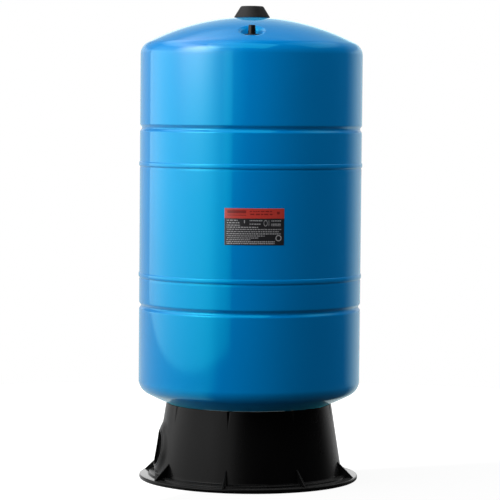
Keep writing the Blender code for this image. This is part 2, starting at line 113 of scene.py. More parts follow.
def soften_edges(piece, width, segments, angle=None):
    """Round a piece's edges by a bevel, where they turn by more than an angle."""
    bevel = piece.modifiers.new("soften", "BEVEL")
    bevel.width = width
    bevel.segments = segments
    if angle:
        bevel.limit_method = "ANGLE"
        bevel.angle_limit = angle


def mesh_piece(name, points, quads, body, material, sharp_from=crease):
    """A piece from points (n, 3) and quads (m, 4), with points that coincide merged."""
    mesh = bpy.data.meshes.new(name)
    mesh.vertices.add(len(points))
    mesh.vertices.foreach_set("co", np.ascontiguousarray(points, np.float32).ravel())
    mesh.loops.add(quads.size)
    mesh.loops.foreach_set("vertex_index", quads.astype(np.int32).ravel())
    mesh.polygons.add(len(quads))
    mesh.polygons.foreach_set("loop_start", np.arange(0, quads.size, 4, dtype=np.int32))
    mesh.update(calc_edges=True)
    tidy = bmesh.new()
    tidy.from_mesh(mesh)
    bmesh.ops.remove_doubles(tidy, verts=tidy.verts, dist=merge_distance)
    bmesh.ops.recalc_face_normals(tidy, faces=tidy.faces)
    tidy.to_mesh(mesh)
    tidy.free()
    return add_piece(name, mesh, body, material, sharp_from)


# %% [markdown]
# Most pieces of the tank are round: an outline of radius and height carried round an axis,
# as on a lathe. Blender's Screw modifier does the same, but a grid worked out in arrays can
# have its columns packed close where a recess or a flute needs them. The grid closes round
# the axis, and along the outline too. A row at the axis collapses to one point, and merging
# it closes the pole.

# %% Turned grids
tiny = 1e-9


def grid_quads(rows, columns, close_rows, close_columns):
    """Corner numbers of a grid's faces: each cell joins a point to its two neighbours."""
    down = np.arange(rows if close_rows else rows - 1)
    along = np.arange(columns if close_columns else columns - 1)
    i, j = np.meshgrid(down, along, indexing="ij")
    i2, j2 = (i + 1) % rows, (j + 1) % columns
    corners = [i * columns + j, i * columns + j2, i2 * columns + j2, i2 * columns + j]
    return np.stack(corners, -1).reshape(-1, 4)


def even_angles(columns):
    """Even steps round the whole circle, from the back by way of the front, at 0."""
    return np.linspace(-pi, pi, columns, endpoint=False)


def turn(outline, angles, centre=(0.0, 0.0)):
    """Points at radius r and height z, carried round: (r sin a, -r cos a, z)."""
    r, z = np.asarray(outline, float).T
    x = centre[0] + r[:, None] * np.sin(angles)[None, :]
    y = centre[1] - r[:, None] * np.cos(angles)[None, :]
    return np.stack([x, y, np.broadcast_to(z[:, None], x.shape)], -1)


def closes_on_itself(outline):
    """Whether an outline joins its end to its start, or begins and ends on the axis."""
    return min(np.asarray(outline)[[0, -1], 0]) > tiny


def turned_piece(name, outline, body, material, columns, centre=(0.0, 0.0)):
    """A closed outline turned about an upright axis; ends on the axis become poles."""
    points = turn(outline, even_angles(columns), centre)
    quads = grid_quads(len(outline), columns, closes_on_itself(outline), True)
    return mesh_piece(name, points.reshape(-1, 3), quads, body, material)


# %% [markdown]
# No pressed or moulded edge is truly sharp, and light catches on its small round. An outline
# here is a few corners, and each gives way to a short curve. A bevel modifier could do this
# afterwards, but a round that is part of the outline follows it cleanly all the way round.

# %% Rounded outlines
side_share = 0.45


def rounded(corners, radius, steps):
    """A closed outline with each corner (r, z) rounded, by one radius or by one each.

    Each corner gives way to a parabola that leaves and meets its sides at the given
    radius, or at under half of a short side: P = (1-t)^2 A + 2 t (1-t) C + t^2 B.
    A corner on the axis stays sharp.
    """
    corners = np.asarray(corners, float)
    out = []
    count = len(corners)
    radii = np.broadcast_to(radius, count)
    for k in range(count):
        here = corners[k]
        if here[0] < tiny:
            out.append(here[None, :])
            continue
        ends = []
        for side in (corners[k - 1] - here, corners[(k + 1) % count] - here):
            length = np.hypot(*side)
            ends.append(here + side / length * min(radii[k], side_share * length))
        t = np.linspace(0, 1, steps + 1)[:, None]
        out.append((1 - t) ** 2 * ends[0] + 2 * t * (1 - t) * here + t ** 2 * ends[1])
    return np.concatenate(out)


def stepped(outline, longest):
    """The same closed outline with its long sides divided, so that no step is too long."""
    rows = [outline[0]]
    for here, after in zip(outline, np.roll(outline, -1, axis=0)):
        steps = max(int(np.hypot(*(after - here)) / longest), 1)
        rows += [here + (after - here) * k / steps for k in range(1, steps + 1)]
    return np.array(rows[:-1])


square = [(1, 0), (2, 0), (2, 1), (1, 1)]
print("a square of 4 corners becomes", len(rounded(square, 0.2, 4)), "points when rounded")


# %% [markdown]
# A finish starts as a Principled shader with its colour, its roughness and its metal share.
# Simpler shaders could be mixed by hand for each piece, but this one holds paint, plastic,
# rubber and metal alike, so one helper makes them all.

# %% Helpers for finishes
def tune(node, settings):
    """Set a node's sockets by their names."""
    for socket, value in settings.items():
        node.inputs[socket].default_value = value


def principled(name, colour, roughness, metallic=0.0):
    """A material with its main colour and finish on the shader's own sockets."""
    material = bpy.data.materials.new(name)
    material.use_nodes = True
    shader = material.node_tree.nodes["Principled BSDF"]
    tune(shader, {"Base Color": (*colour, 1.0), "Roughness": roughness, "Metallic": metallic})
    print("finish", name, "with roughness", roughness)
    return material, shader


# %% [markdown]
# A perfectly even surface looks false, so each finish gets some unevenness. Small blobs of
# noise drive the bump, and large ones let a colour or the roughness wander. Painted image
# maps could do the same, but noise on Object coordinates needs no unwrapping and keeps its
# real size in metres.

# %% Helpers for unevenness
noise_low, noise_high = 0.3, 0.7
print("noise counts from", noise_low, "to", noise_high)


def add_noise(material, size, detail, stretch=(1, 1, 1)):
    """Noise on Object coordinates whose blobs are about size metres across."""
    tree = material.node_tree
    place = tree.nodes.new("ShaderNodeTexCoord")
    mapping = tree.nodes.new("ShaderNodeMapping")
    noise = tree.nodes.new("ShaderNodeTexNoise")
    tune(mapping, {"Scale": stretch})
    tune(noise, {"Scale": 1.0 / size, "Detail": detail})
    tree.links.new(place.outputs["Object"], mapping.inputs["Vector"])
    tree.links.new(mapping.outputs["Vector"], noise.inputs["Vector"])
    return noise


def grained(material, shader, size, detail, height):
    """A grain of bumps: height is the rise in metres from the noise's low to its high."""
    noise = add_noise(material, size, detail)
    tree = material.node_tree
    bump = tree.nodes.new("ShaderNodeBump")
    tune(bump, {"Strength": 1.0, "Distance": height})
    tree.links.new(noise.outputs["Fac"], bump.inputs["Height"])
    tree.links.new(bump.outputs["Normal"], shader.inputs["Normal"])


def clouded(material, shader, socket, size, detail, low, high, stretch=(1, 1, 1)):
    """Let a colour or a number wander between two values by a noise."""
    noise = add_noise(material, size, detail, stretch)
    tree = material.node_tree
    if socket == "Base Color":
        blend = tree.nodes.new("ShaderNodeValToRGB")
        for element, position, colour in zip(blend.color_ramp.elements, (noise_low, noise_high), (low, high)):
            element.position = position
            element.color = (*colour, 1.0)
        tree.links.new(noise.outputs["Fac"], blend.inputs["Fac"])
        tree.links.new(blend.outputs["Color"], shader.inputs[socket])
        return
    spread = tree.nodes.new("ShaderNodeMapRange")
    tune(spread, {"From Min": noise_low, "From Max": noise_high, "To Min": low, "To Max": high})
    tree.links.new(noise.outputs["Fac"], spread.inputs["Value"])
    tree.links.new(spread.outputs["Result"], shader.inputs[socket])


# %% [markdown]
# Paint, floor, world and lamps here also change with a place or a direction, which takes
# arithmetic in nodes. A long chain of nodes placed one by one is hard to read, so four small
# helpers build it: the parts of a vector, a smooth step between two levels, a line through
# stops, and one operation on a row of values.

# %% Helpers for arithmetic in nodes
def parts_of(tree, vector):
    """The parts X, Y and Z of a vector."""
    parts = tree.nodes.new("ShaderNodeSeparateXYZ")
    tree.links.new(vector, parts.inputs[0])
    return parts.outputs


def ramp(tree, value, start, stop, low, high):
    """A smooth step of a value between two levels."""
    step = tree.nodes.new("ShaderNodeMapRange")
    step.interpolation_type = "SMOOTHSTEP"
    tune(step, {"From Min": start, "From Max": stop, "To Min": low, "To Max": high})
    tree.links.new(value, step.inputs["Value"])
    return step.outputs["Result"]


def levels(tree, value, stops):
    """A value turned into a level by straight lines between (place, level) stops."""
    line = tree.nodes.new("ShaderNodeValToRGB")
    first, last = line.color_ramp.elements
    first.position, last.position = stops[0][0], stops[-1][0]
    first.color = (stops[0][1],) * 3 + (1.0,)
    last.color = (stops[-1][1],) * 3 + (1.0,)
    for position, level in stops[1:-1]:
        line.color_ramp.elements.new(position).color = (level,) * 3 + (1.0,)
    tree.links.new(value, line.inputs[0])
    return line.outputs[0]


def join(tree, operation, first, *others):
    """Math nodes in a row: the operation on the first value and each other one in turn."""
    for other in others:
        node = tree.nodes.new("ShaderNodeMath")
        node.operation = operation
        tree.links.new(first, node.inputs[0])
        if isinstance(other, float):
            node.inputs[1].default_value = other
        else:
            tree.links.new(other, node.inputs[1])
        first = node.outputs[0]
    return first


# %% [markdown]
# The paint is glossy blue enamel over sheet steel. A blue base under a clear coat would be
# the usual way, but a clear coat mirrors lamps and room in white, and the photo's reflections
# are blue to violet. So the mirror layer of the blue itself is tinted, and a faint cyan sheen
# lightens the paint where it is seen at a slant. Real enamel lies in a slight orange peel,
# which is a fine bump, and its colour drifts by a hair over a hand's breadth.

# %% Blue enamel
full_gloss = 1.0
full_veil = 0.5
enamel, paint = principled("blue_enamel", (0.0, 0.174, 0.49), 0.07)
tune(paint, {"Specular IOR Level": full_gloss, "Sheen Weight": full_veil})
tune(paint, {"Sheen Roughness": 0.25, "Sheen Tint": (0.10, 0.80, 1.0, 1.0)})
clouded(enamel, paint, "Base Color", 0.18, 2.0, (0.0, 0.169, 0.48), (0.0, 0.179, 0.50))
grained(enamel, paint, 0.006, 1.5, 0.000012)

# %% [markdown]
# The red share of the mirror tint is a painted highlight tint, set by place and not by the lamps. On the wall
# the reflections are left pure blue near the foot and painted pale towards the shoulder, most of all in a
# band left of the middle. On the dome both flanks are painted paler than the crown. The mirror tint is cyan
# with a painted share of red that follows height and width, each as a line through stops, and a smooth step
# at the shoulder passes from the wall's line to the dome's.

# %% Painted highlight tint of the enamel's reflections
left_of_tank = 0.2
shoulder = (0.770, 0.778)
painted_highlight_red_by_height = [(0.20, 0.03), (0.50, 0.07), (0.60, 0.14), (0.68, 0.27),
                  (0.74, 0.42), (0.757, 0.80), (0.768, 0.70), (0.778, 0.30)]
painted_highlight_red_round_wall = [(0.013, 0.25), (0.033, 0.08), (0.063, 0.45), (0.085, 1.0),
                  (0.114, 1.0), (0.138, 0.60), (0.164, 0.22), (0.19, 0.06)]
painted_highlight_red_over_dome = [(0.04, 0.60), (0.07, 0.30), (0.093, 0.20), (0.13, 0.12),
                 (0.20, 0.08), (0.25, 0.25), (0.33, 0.40), (0.37, 0.90)]

tree = enamel.node_tree
place = tree.nodes.new("ShaderNodeTexCoord")
at = parts_of(tree, place.outputs["Object"])
side = join(tree, "ADD", at["X"], left_of_tank)
# painted highlight: the red share of the reflections is set by height and width, not by the lamps
painted_highlight_warmth = levels(tree, at["Z"], painted_highlight_red_by_height)
on_wall = ramp(tree, at["Z"], *shoulder, 1.0, 0.0)
on_dome = ramp(tree, at["Z"], *shoulder, 0.0, 1.0)
painted_wall_highlight_share = join(tree, "MULTIPLY", levels(tree, side, painted_highlight_red_round_wall), on_wall)
painted_dome_highlight_share = join(tree, "MULTIPLY", levels(tree, side, painted_highlight_red_over_dome), on_dome)
tint = tree.nodes.new("ShaderNodeCombineColor")
tune(tint, {"Green": 1.0, "Blue": 1.0})
tree.links.new(join(tree, "MULTIPLY", painted_highlight_warmth, join(tree, "ADD", painted_wall_highlight_share, painted_dome_highlight_share)), tint.inputs["Red"])
tree.links.new(tint.outputs[0], paint.inputs["Specular Tint"])
print("reflections are tinted by", len(painted_highlight_red_by_height), "stops of height")

# %% [markdown]
# Two places on the dome get painted shade: the inside of the stamped recess and the ring round the centre
# cap, where the paint would mirror black pieces and shaded walls and where shade falls. The base colour stays
# one coat of paint. Instead the sheen is turned down in both places and the mirror layer in the recess, by
# the distance from the tank's axis and from the valve's, on the dome only. This darkens both places as
# painted shade.

# %% Painted shade: darker reflections in the recess and round the cap
recess_ring = (0.0175, 0.0205)
cap_ring = (0.042, 0.058)
dome_heights = (0.70, 0.75)
painted_shade_recess_gloss, painted_shade_recess_veil, painted_shade_cap_veil = 0.15, 0.1, 0.0


def ring_step(tree, square, ring, low, high):
    """A smooth step over the distance from an axis, taken from its square."""
    return ramp(tree, square, ring[0] ** 2, ring[1] ** 2, low, high)


low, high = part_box("valve_stem")
ahead = join(tree, "SUBTRACT", at["Y"], (low.y + high.y) / 2)
across = join(tree, "MULTIPLY", at["X"], at["X"])
from_axis = join(tree, "ADD", across, join(tree, "MULTIPLY", at["Y"], at["Y"]))
from_valve = join(tree, "ADD", across, join(tree, "MULTIPLY", ahead, ahead))
# painted shade: gloss and sheen are turned down by distance in the recess and round the cap, not by any
# shadow
gloss = ring_step(tree, from_valve, recess_ring, painted_shade_recess_gloss, full_gloss)
painted_shade_veil = join(tree, "MINIMUM", ring_step(tree, from_axis, cap_ring, painted_shade_cap_veil, full_veil),
            ring_step(tree, from_valve, recess_ring, painted_shade_recess_veil, full_veil))
for level, full, socket in ((gloss, full_gloss, "Specular IOR Level"), (painted_shade_veil, full_veil, "Sheen Weight")):
    below_dome = ramp(tree, at["Z"], *dome_heights, full, 0.0)
    tree.links.new(join(tree, "MAXIMUM", level, below_dome), paint.inputs[socket])
print("enamel has", len(tree.nodes), "nodes")

# %% [markdown]
# The stand and the two caps are black moulded plastic. A mould leaves a fine grain, and the
# gloss wanders where the melt flowed. One material for all three would be simpler, but the
# photo shows three: a satin stand whose flange is glossy enough to mirror the floor, a matt
# centre cap, and a smooth dust cap.

# %% Black plastics
flange_top = (0.0075, 0.0100)
flange_roughness, wall_roughness = 0.10, 0.26
stand_black, plastic = principled("stand_plastic", (0.0015, 0.0015, 0.0016), wall_roughness)
grained(stand_black, plastic, 0.0012, 2.0, 0.000025)
flow = add_noise(stand_black, 0.05, 3.0, (1, 1, 0.35))
tree = stand_black.node_tree
at = parts_of(tree, tree.nodes["Texture Coordinate"].outputs["Object"])
dull = ramp(tree, at["Z"], *flange_top, flange_roughness, wall_roughness)
uneven = ramp(tree, flow.outputs["Fac"], noise_low, noise_high, 0.85, 1.15)
tree.links.new(join(tree, "MULTIPLY", dull, uneven), plastic.inputs["Roughness"])
tune(plastic, {"Specular IOR Level": 0.10, "Sheen Weight": 0.10, "Sheen Roughness": 0.3})

cap_black, plastic = principled("cap_plastic", (0.006, 0.006, 0.0063), 0.42)
tune(plastic, {"Specular IOR Level": 0.3})
grained(cap_black, plastic, 0.0008, 2.0, 0.00004)
clouded(cap_black, plastic, "Roughness", 0.01, 2.0, 0.44, 0.54)

cap_gloss, plastic = principled("gloss_cap_plastic", (0.004, 0.004, 0.0042), 0.20)
tune(plastic, {"Specular IOR Level": 0.2})
clouded(cap_gloss, plastic, "Roughness", 0.003, 2.0, 0.17, 0.24)

# %% [markdown]
# Rubber is nearly black and dull, and it blooms with age, so its colour wanders between two
# dark greys. The disc and seals are fine grained. The bladder is butyl from a rougher mould,
# with a coarser grain. Plain dark grey would look like plastic beside the caps.

# %% Rubbers
rubber, skin = principled("black_rubber", (0.018, 0.018, 0.018), 0.72)
grained(rubber, skin, 0.0006, 3.0, 0.00004)
clouded(rubber, skin, "Base Color", 0.008, 2.0, (0.014, 0.014, 0.014), (0.026, 0.025, 0.024))

butyl, skin = principled("bladder_rubber", (0.030, 0.028, 0.027), 0.78)
grained(butyl, skin, 0.002, 3.0, 0.00008)
clouded(butyl, skin, "Base Color", 0.06, 3.0, (0.024, 0.023, 0.022), (0.040, 0.037, 0.034))

# %% [markdown]
# The fittings are zinc plated steel and turned brass. A metal's base colour is the colour of
# its mirror image, so both are set bright and fully metallic. Plating is cloudy and unevenly
# smooth. A lathe leaves fine rings on brass, so its noise is squeezed along the axis.

# %% Plated steel and brass
zinc, plating = principled("zinc_plate", (0.56, 0.56, 0.53), 0.34, 1.0)
clouded(zinc, plating, "Roughness", 0.0015, 4.0, 0.26, 0.44)
clouded(zinc, plating, "Base Color", 0.012, 3.0, (0.50, 0.49, 0.44), (0.62, 0.62, 0.60))

brass, turned_metal = principled("turned_brass", (0.66, 0.45, 0.17), 0.28, 1.0)
clouded(brass, turned_metal, "Roughness", 0.0004, 2.0, 0.20, 0.36, (0.2, 0.2, 4.0))
clouded(brass, turned_metal, "Base Color", 0.004, 2.0, (0.60, 0.40, 0.14), (0.70, 0.49, 0.20))

# %% [markdown]
# A dished end is a large ball segment that turns into the wall through a tight knuckle. It
# could be shaped by eye from a squashed ball, but a presser works with two radii, and so does
# this outline: the arcs meet where both have the same slope. The heights of the laps and
# poles are read from the solids.

# %% Sizes of the shell
tank_radius = 0.195
sheet = 0.0015
clearance = 0.0003
crown_radius = 0.390
knuckle_radius = 0.025
hole_radius = 0.0083
flat_radius = 0.020
neck_hole = 0.045
seat_share = 0.45

knuckle_angle = asin((tank_radius - knuckle_radius) / (crown_radius - knuckle_radius))
crown_edge = crown_radius * sin(knuckle_angle)
inner_crown_edge = (crown_radius - sheet) * sin(knuckle_angle)
head_depth = crown_radius - (crown_radius - knuckle_radius) * cos(knuckle_angle)
upper_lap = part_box("upper_head")[0].z
lower_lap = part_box("shell_band")[0].z
upper_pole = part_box("upper_head")[1].z + crown_radius - sqrt(crown_radius ** 2 - flat_radius ** 2)
neck_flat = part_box("lower_head")[0].z
neck_flat_radius = neck_hole + seat_share * (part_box("neck_flange")[1].x - neck_hole)
lower_pole = neck_flat - crown_radius + sqrt(crown_radius ** 2 - neck_flat_radius ** 2)
print("shell from", round(lower_pole, 4), "to", round(upper_pole, 4))


def dish(r, inset=0.0):
    """Depth below the pole of a crown skin at radius r, for a skin set inwards."""
    return crown_radius - np.sqrt((crown_radius - inset) ** 2 - np.asarray(r) ** 2)


def head_outline(radii, inset, flat, knuckle_rows):
    """Radius and depth below the pole: the crown at the given radii, then the knuckle."""
    depth = np.maximum(dish(radii, inset), dish(flat) + inset)
    reach = knuckle_radius - inset
    a = knuckle_angle + (pi / 2 - knuckle_angle) * np.arange(1, knuckle_rows + 1) / knuckle_rows
    r = tank_radius - knuckle_radius + reach * np.sin(a)
    return np.concatenate([radii, r]), np.concatenate([depth, head_depth - reach * np.cos(a)])


# %% [markdown]
# Each head has one groove pressed in by a roller. The sheets join in laps: the edge of one
# steps in and slips behind the next, and a bead of weld closes the joint. A displacement map
# would need a fine mesh everywhere. Here each form is a short formula of height that is added
# to the wall's radius, and only the rows near it are packed close.

# %% Grooves, laps and weld beads
groove_width = 0.014
groove_depth = 0.0034
upper_groove_drop, lower_groove_rise = 0.1283, 0.1314
bead_height = 0.0085
bead_proud = 0.0013
toe = 0.0006
fall_height = 0.0045
lip_drop, lip_rise = 0.0003, 0.0012
tongue_height, tongue_foot = 0.013, 0.002
behind_lap = 0.008
tongue_radius = tank_radius - sheet - clearance
upper_groove = upper_pole - head_depth - upper_groove_drop
lower_groove = lower_pole + head_depth + lower_groove_rise
print("grooves at heights", round(lower_groove, 4), "and", round(upper_groove, 4))


def groove_dip(z, middle):
    """How far a rolled groove dips inwards: depth times cosine squared over its width."""
    t = np.clip((z - middle) / groove_width, -0.5, 0.5)
    return groove_depth * np.cos(pi * t) ** 2


def bead_swell(z, edge):
    """How far the weld bead swells out above a lap edge: a half ellipse over its height."""
    t = np.clip((z - edge) / bead_height, 0.0, 1.0)
    return bead_proud * np.sqrt(np.clip(1 - (2 * t - 1) ** 2, 0, 1))


def lap_fall(z, edge):
    """How far the lower sheet steps in just below a lap: a half cosine over its step."""
    t = np.clip((z - edge + fall_height) / fall_height, 0.0, 1.0)
    return toe * (0.5 - 0.5 * np.cos(pi * t))


def lap_lip(edge):
    """The lower edge of a sheet under its bead, from outside to inside."""
    return [(tank_radius - toe * 0.9, edge - lip_drop), (tank_radius - sheet, edge + lip_rise)]


def tongue(edge):
    """The upper edge of a sheet, which slips behind the next: outside, over the top, inside."""
    return [(tongue_radius, edge + lip_rise), (tongue_radius, edge + tongue_height),
            (tongue_radius - sheet, edge + tongue_height), (tongue_radius - sheet, edge - tongue_foot)]


# %% [markdown]
# The rows down a wall are a list of heights. Even rows fine enough for a groove would make
# the band heavier than the stand, so they are coarse, and each groove, bead or step adds fine
# ones over its own stretch. Rows that fall too close together are dropped.

# %% Rows down a wall
below_knuckle = 0.003
inner_spacing = (0.03, 0.0022)


def skirt_heights(top, bottom, fine_spots, coarse=0.02, fine=0.0006):
    """Heights down a straight wall, close together near each named spot."""
    heights = [np.arange(bottom, top, coarse)]
    for middle, half in fine_spots:
        heights.append(np.arange(middle - half, middle + half, fine))
    z = np.unique(np.round(np.concatenate(heights + [[top, bottom]]), 6))
    keep = np.concatenate([[True], np.diff(z) > 0.6 * fine])
    return z[keep & (z >= bottom - tiny) & (z <= top + tiny)][::-1]


def near_groove(middle):
    """Middle and half height of the fine rows at a groove."""
    return (middle, groove_width * 0.6)


def near_bead(edge):
    """Middle and half height of the fine rows at a weld bead."""
    return (edge + bead_height / 2, bead_height / 2 + 0.001)


def near_fall(edge):
    """Middle and half height of the fine rows where a sheet steps in."""
    return (edge - 0.002, 0.003)


bare_rows, bead_rows = (skirt_heights(upper_lap, lower_lap, spots) for spots in ([], [near_bead(lower_lap)]))
print("a wall of", len(bare_rows), "rows has", len(bead_rows), "with a bead on it")


# %% [markdown]
# The air valve stands in a stamped recess: a round level floor pressed into the sloping
# dome, so its back wall is high and its front edge runs out flush. Cutting it with a boolean
# would leave sharp edges and long thin faces. Instead every point within its reach is slid
# along the section of the stamping: down the dome, round the rim, down the wall and round the
# corner to the floor. Averaging that broken line over a short stretch gives both bends their
# radius.

# %% Stamped recess
valve_y = -0.145
valve = (0.0, valve_y)
grommet_head = 0.0015
recess_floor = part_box("valve_grommet")[1].z - grommet_head - clearance
rim_radius, rim_reach, rim_bend = 0.0212, 0.0058, 0.0058
floor_radius, floor_reach, floor_bend = 0.0150, 0.0030, 0.0020
bend_samples = np.linspace(-1, 1, 9)
print("recess floor at height", round(recess_floor, 4))


def stamp(points, inset):
    """Slide points of a dome skin into the recess; inset is the skin's depth in the sheet."""
    x, y, z = points[..., 0], points[..., 1] - valve_y, points[..., 2]
    d = np.hypot(x, y)
    outer, inner = rim_radius + inset + rim_reach, floor_radius + inset - floor_reach
    level_z = recess_floor - inset
    ux, uy = x / np.maximum(d, tiny), y / np.maximum(d, tiny)

    def on_dome(distance):
        r = np.hypot(ux * distance, uy * distance + valve_y)
        return np.stack([np.full_like(d, distance), upper_pole - dish(r, inset)], -1)

    def on_floor(distance):
        return np.stack([np.full_like(d, distance), np.full_like(d, level_z)], -1)

    start, rim = on_dome(outer), on_dome(rim_radius + inset)
    corner, end = on_floor(floor_radius + inset), on_floor(inner)
    rim[..., 1] = np.maximum(rim[..., 1], corner[..., 1])
    lengths = [np.linalg.norm(b - a, axis=-1) for a, b in ((start, rim), (rim, corner), (corner, end))]
    whole = sum(lengths)

    def down_wall(s):
        return np.clip((s - lengths[0]) / np.maximum(lengths[1], tiny), 0, 1)

    def along(s):
        s = np.clip(s, 0, whole)
        first = np.clip(s / lengths[0], 0, 1)[..., None]
        second = down_wall(s)[..., None]
        third = np.clip((s - lengths[0] - lengths[1]) / lengths[2], 0, 1)[..., None]
        return start + first * (rim - start) + second * (corner - rim) + third * (end - corner)

    s = np.clip((outer - d) / (outer - inner), 0, 1) * whole
    bend = rim_bend + (floor_bend - rim_bend) * down_wall(s)
    bend = np.minimum(bend, np.minimum(s, whole - s))
    section = sum(along(s + k * bend) for k in bend_samples) / len(bend_samples)
    slid, level = d < outer, d < inner
    new_d = np.where(slid & ~level, section[..., 0], d)
    new_z = np.where(level, level_z, np.where(slid, section[..., 1], z))
    return np.stack([ux * new_d, uy * new_d + valve_y, new_z], -1)


# %% [markdown]
# The upper head is one pressing from its hole to its lap. A single skin would be enough for
# this picture, but it would be paper when the tank is cut or baked, so the grid runs out over
# the crown, down the wall, round the edge of the lap and back up inside. The columns are
# close in front, where the recess is, and the rows are close over the recess.

# %% Upper head
front_half, front_step, rear_columns = 0.19, 0.0038, 262
outer_knuckle_rows, inner_knuckle_rows = 18, 6
front = np.arange(-front_half, front_half, front_step)
rear = np.linspace(front_half, 2 * pi - front_half, rear_columns, endpoint=False)
head_angles = np.concatenate([front, rear])
flat_rows, plain_rows = np.linspace(hole_radius, flat_radius, 3), np.linspace(0.024, 0.112, 10)
recess_rows, outer_rows = np.arange(0.1170, 0.1735, 0.0005), [0.1760, 0.1790]
inner_plain_rows, inner_recess_rows = np.linspace(hole_radius, 0.110, 5), np.arange(0.115, 0.172, 0.0011)
crown = np.concatenate([flat_rows, plain_rows, recess_rows, outer_rows, [crown_edge]])
inner_crown = np.concatenate([inner_plain_rows, inner_recess_rows, [inner_crown_edge]])

r, depth = head_outline(crown, 0.0, flat_radius, outer_knuckle_rows)
outer_head = turn(np.stack([r, upper_pole - depth], -1), head_angles)
r, depth = head_outline(inner_crown, sheet, flat_radius, inner_knuckle_rows)
inner_head = turn(np.stack([r, upper_pole - depth], -1)[::-1], head_angles)

skirt_top = upper_pole - head_depth - below_knuckle
z = skirt_heights(skirt_top, upper_lap, [near_groove(upper_groove), near_bead(upper_lap)])
wall = tank_radius - groove_dip(z, upper_groove) + bead_swell(z, upper_lap)
outer_wall = turn(np.concatenate([np.stack([wall, z], -1), lap_lip(upper_lap)]), head_angles)
z = skirt_heights(skirt_top, upper_lap + 0.004, [near_groove(upper_groove)], *inner_spacing)[::-1]
inner_wall = turn(np.stack([tank_radius - sheet - groove_dip(z, upper_groove), z], -1), head_angles)

points = np.concatenate([stamp(outer_head, 0.0), outer_wall, inner_wall, stamp(inner_head, sheet)])
quads = grid_quads(points.shape[0], points.shape[1], True, True)
head = mesh_piece("upper_head_enamel", points.reshape(-1, 3), quads, "tank", enamel)
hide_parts("upper_head")

# %% [markdown]
# The band is a plain rolled tube. Its upper edge steps in under the head above, and its
# lower edge laps over the head below. Only its outside shows, but it is a closed wall with
# the thickness of the sheet, because a paper-thin tube would look wrong when cut or baked.

# %% Shell band
shell_columns = 288
z = skirt_heights(upper_lap, lower_lap, [near_fall(upper_lap), near_bead(lower_lap)])
wall = tank_radius - lap_fall(z, upper_lap) + bead_swell(z, lower_lap)
*edge, foot = tongue(upper_lap)
outline = np.concatenate([edge[::-1], np.stack([wall, z], -1), lap_lip(lower_lap),
                          [(tank_radius - sheet, upper_lap - behind_lap), foot]])
band = turned_piece("band_enamel", outline, "tank", enamel, shell_columns)
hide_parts("shell_band")

# %% [markdown]
# The lower head is the same pressing upside down, with a wide hole for the water neck in its
# pole. It has no recess, so it could be the upper head's plain outline turned over, and it
# is: the same two radii, then the wall with its groove, the stepped edge and back inside.

# %% Lower head
outer_radii = np.concatenate([[neck_hole], np.linspace(neck_flat_radius, crown_edge, 22)])
inner_radii = np.concatenate([[neck_hole], np.linspace(neck_flat_radius, inner_crown_edge, 10)])
skirt_foot = lower_pole + head_depth + below_knuckle

r, depth = head_outline(outer_radii, 0.0, neck_flat_radius, outer_knuckle_rows)
outer_dish = np.stack([r, lower_pole + depth], -1)
r, depth = head_outline(inner_radii, sheet, neck_flat_radius, inner_knuckle_rows)
inner_dish = np.stack([r, lower_pole + depth], -1)[::-1]
z = skirt_heights(lower_lap, skirt_foot, [near_fall(lower_lap), near_groove(lower_groove)])[::-1]
outer_wall = np.stack([tank_radius - groove_dip(z, lower_groove) - lap_fall(z, lower_lap), z], -1)
z = skirt_heights(lower_lap - behind_lap, skirt_foot, [near_groove(lower_groove)], *inner_spacing)
inner_wall = np.stack([tank_radius - sheet - groove_dip(z, lower_groove), z], -1)

outline = np.concatenate([outer_dish, outer_wall, tongue(lower_lap), inner_wall, inner_dish])
lower = turned_piece("lower_head_enamel", outline, "tank", enamel, shell_columns)
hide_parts("lower_head")

# %% [markdown]
# The centre cap is a moulded frustum with straight sides and a soft top edge, which pulls off
# the nut below. A cone with a bevel would do for its outside. It is turned from an outline
# instead, so that its hollow and the collar that rests on the washer are there when it is
# lifted. Its rim ends a hair above the dome.

# %% Centre cap
low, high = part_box("top_cap")
cap_foot, cap_top = low.z, high.z
cap_foot_radius, cap_top_radius = high.x, 0.0218
cap_wall, cap_lid, cap_rim = 0.0021, 0.0018, 0.0004
collar_in, collar_out = 0.0142, 0.0160
collar_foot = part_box("top_washer")[1].z + clearance
cap_out = [(0.0, cap_top), (cap_top_radius - 0.0022, cap_top), (cap_foot_radius, cap_foot + cap_rim),
           (cap_foot_radius, cap_foot), (cap_foot_radius - cap_wall, cap_foot)]
cap_in = [(collar_out + 0.0006, cap_top - 2 * cap_lid), (collar_out, collar_foot), (collar_in, collar_foot),
          (collar_in, cap_top - cap_lid), (0.0, cap_top - cap_lid)]
outline = np.concatenate([rounded(cap_out, 0.0024, 8), rounded(cap_in, 0.0004, 2)])
centre_cap = turned_piece("centre_cap", outline, "centre_cap", cap_black, 160)
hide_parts("top_cap")

# %% [markdown]
# The stud, the valve stem and the nipple have outside threads. A thread can be a bump map, but
# its outline would stay straight. Here it is a turned tube whose radius rises and falls with
# height less the turn's share of a pitch, which makes a true helix. The wave fades out over
# one pitch at both ends, as a cut thread runs out.

# %% Threads
rows_per_pitch = 8


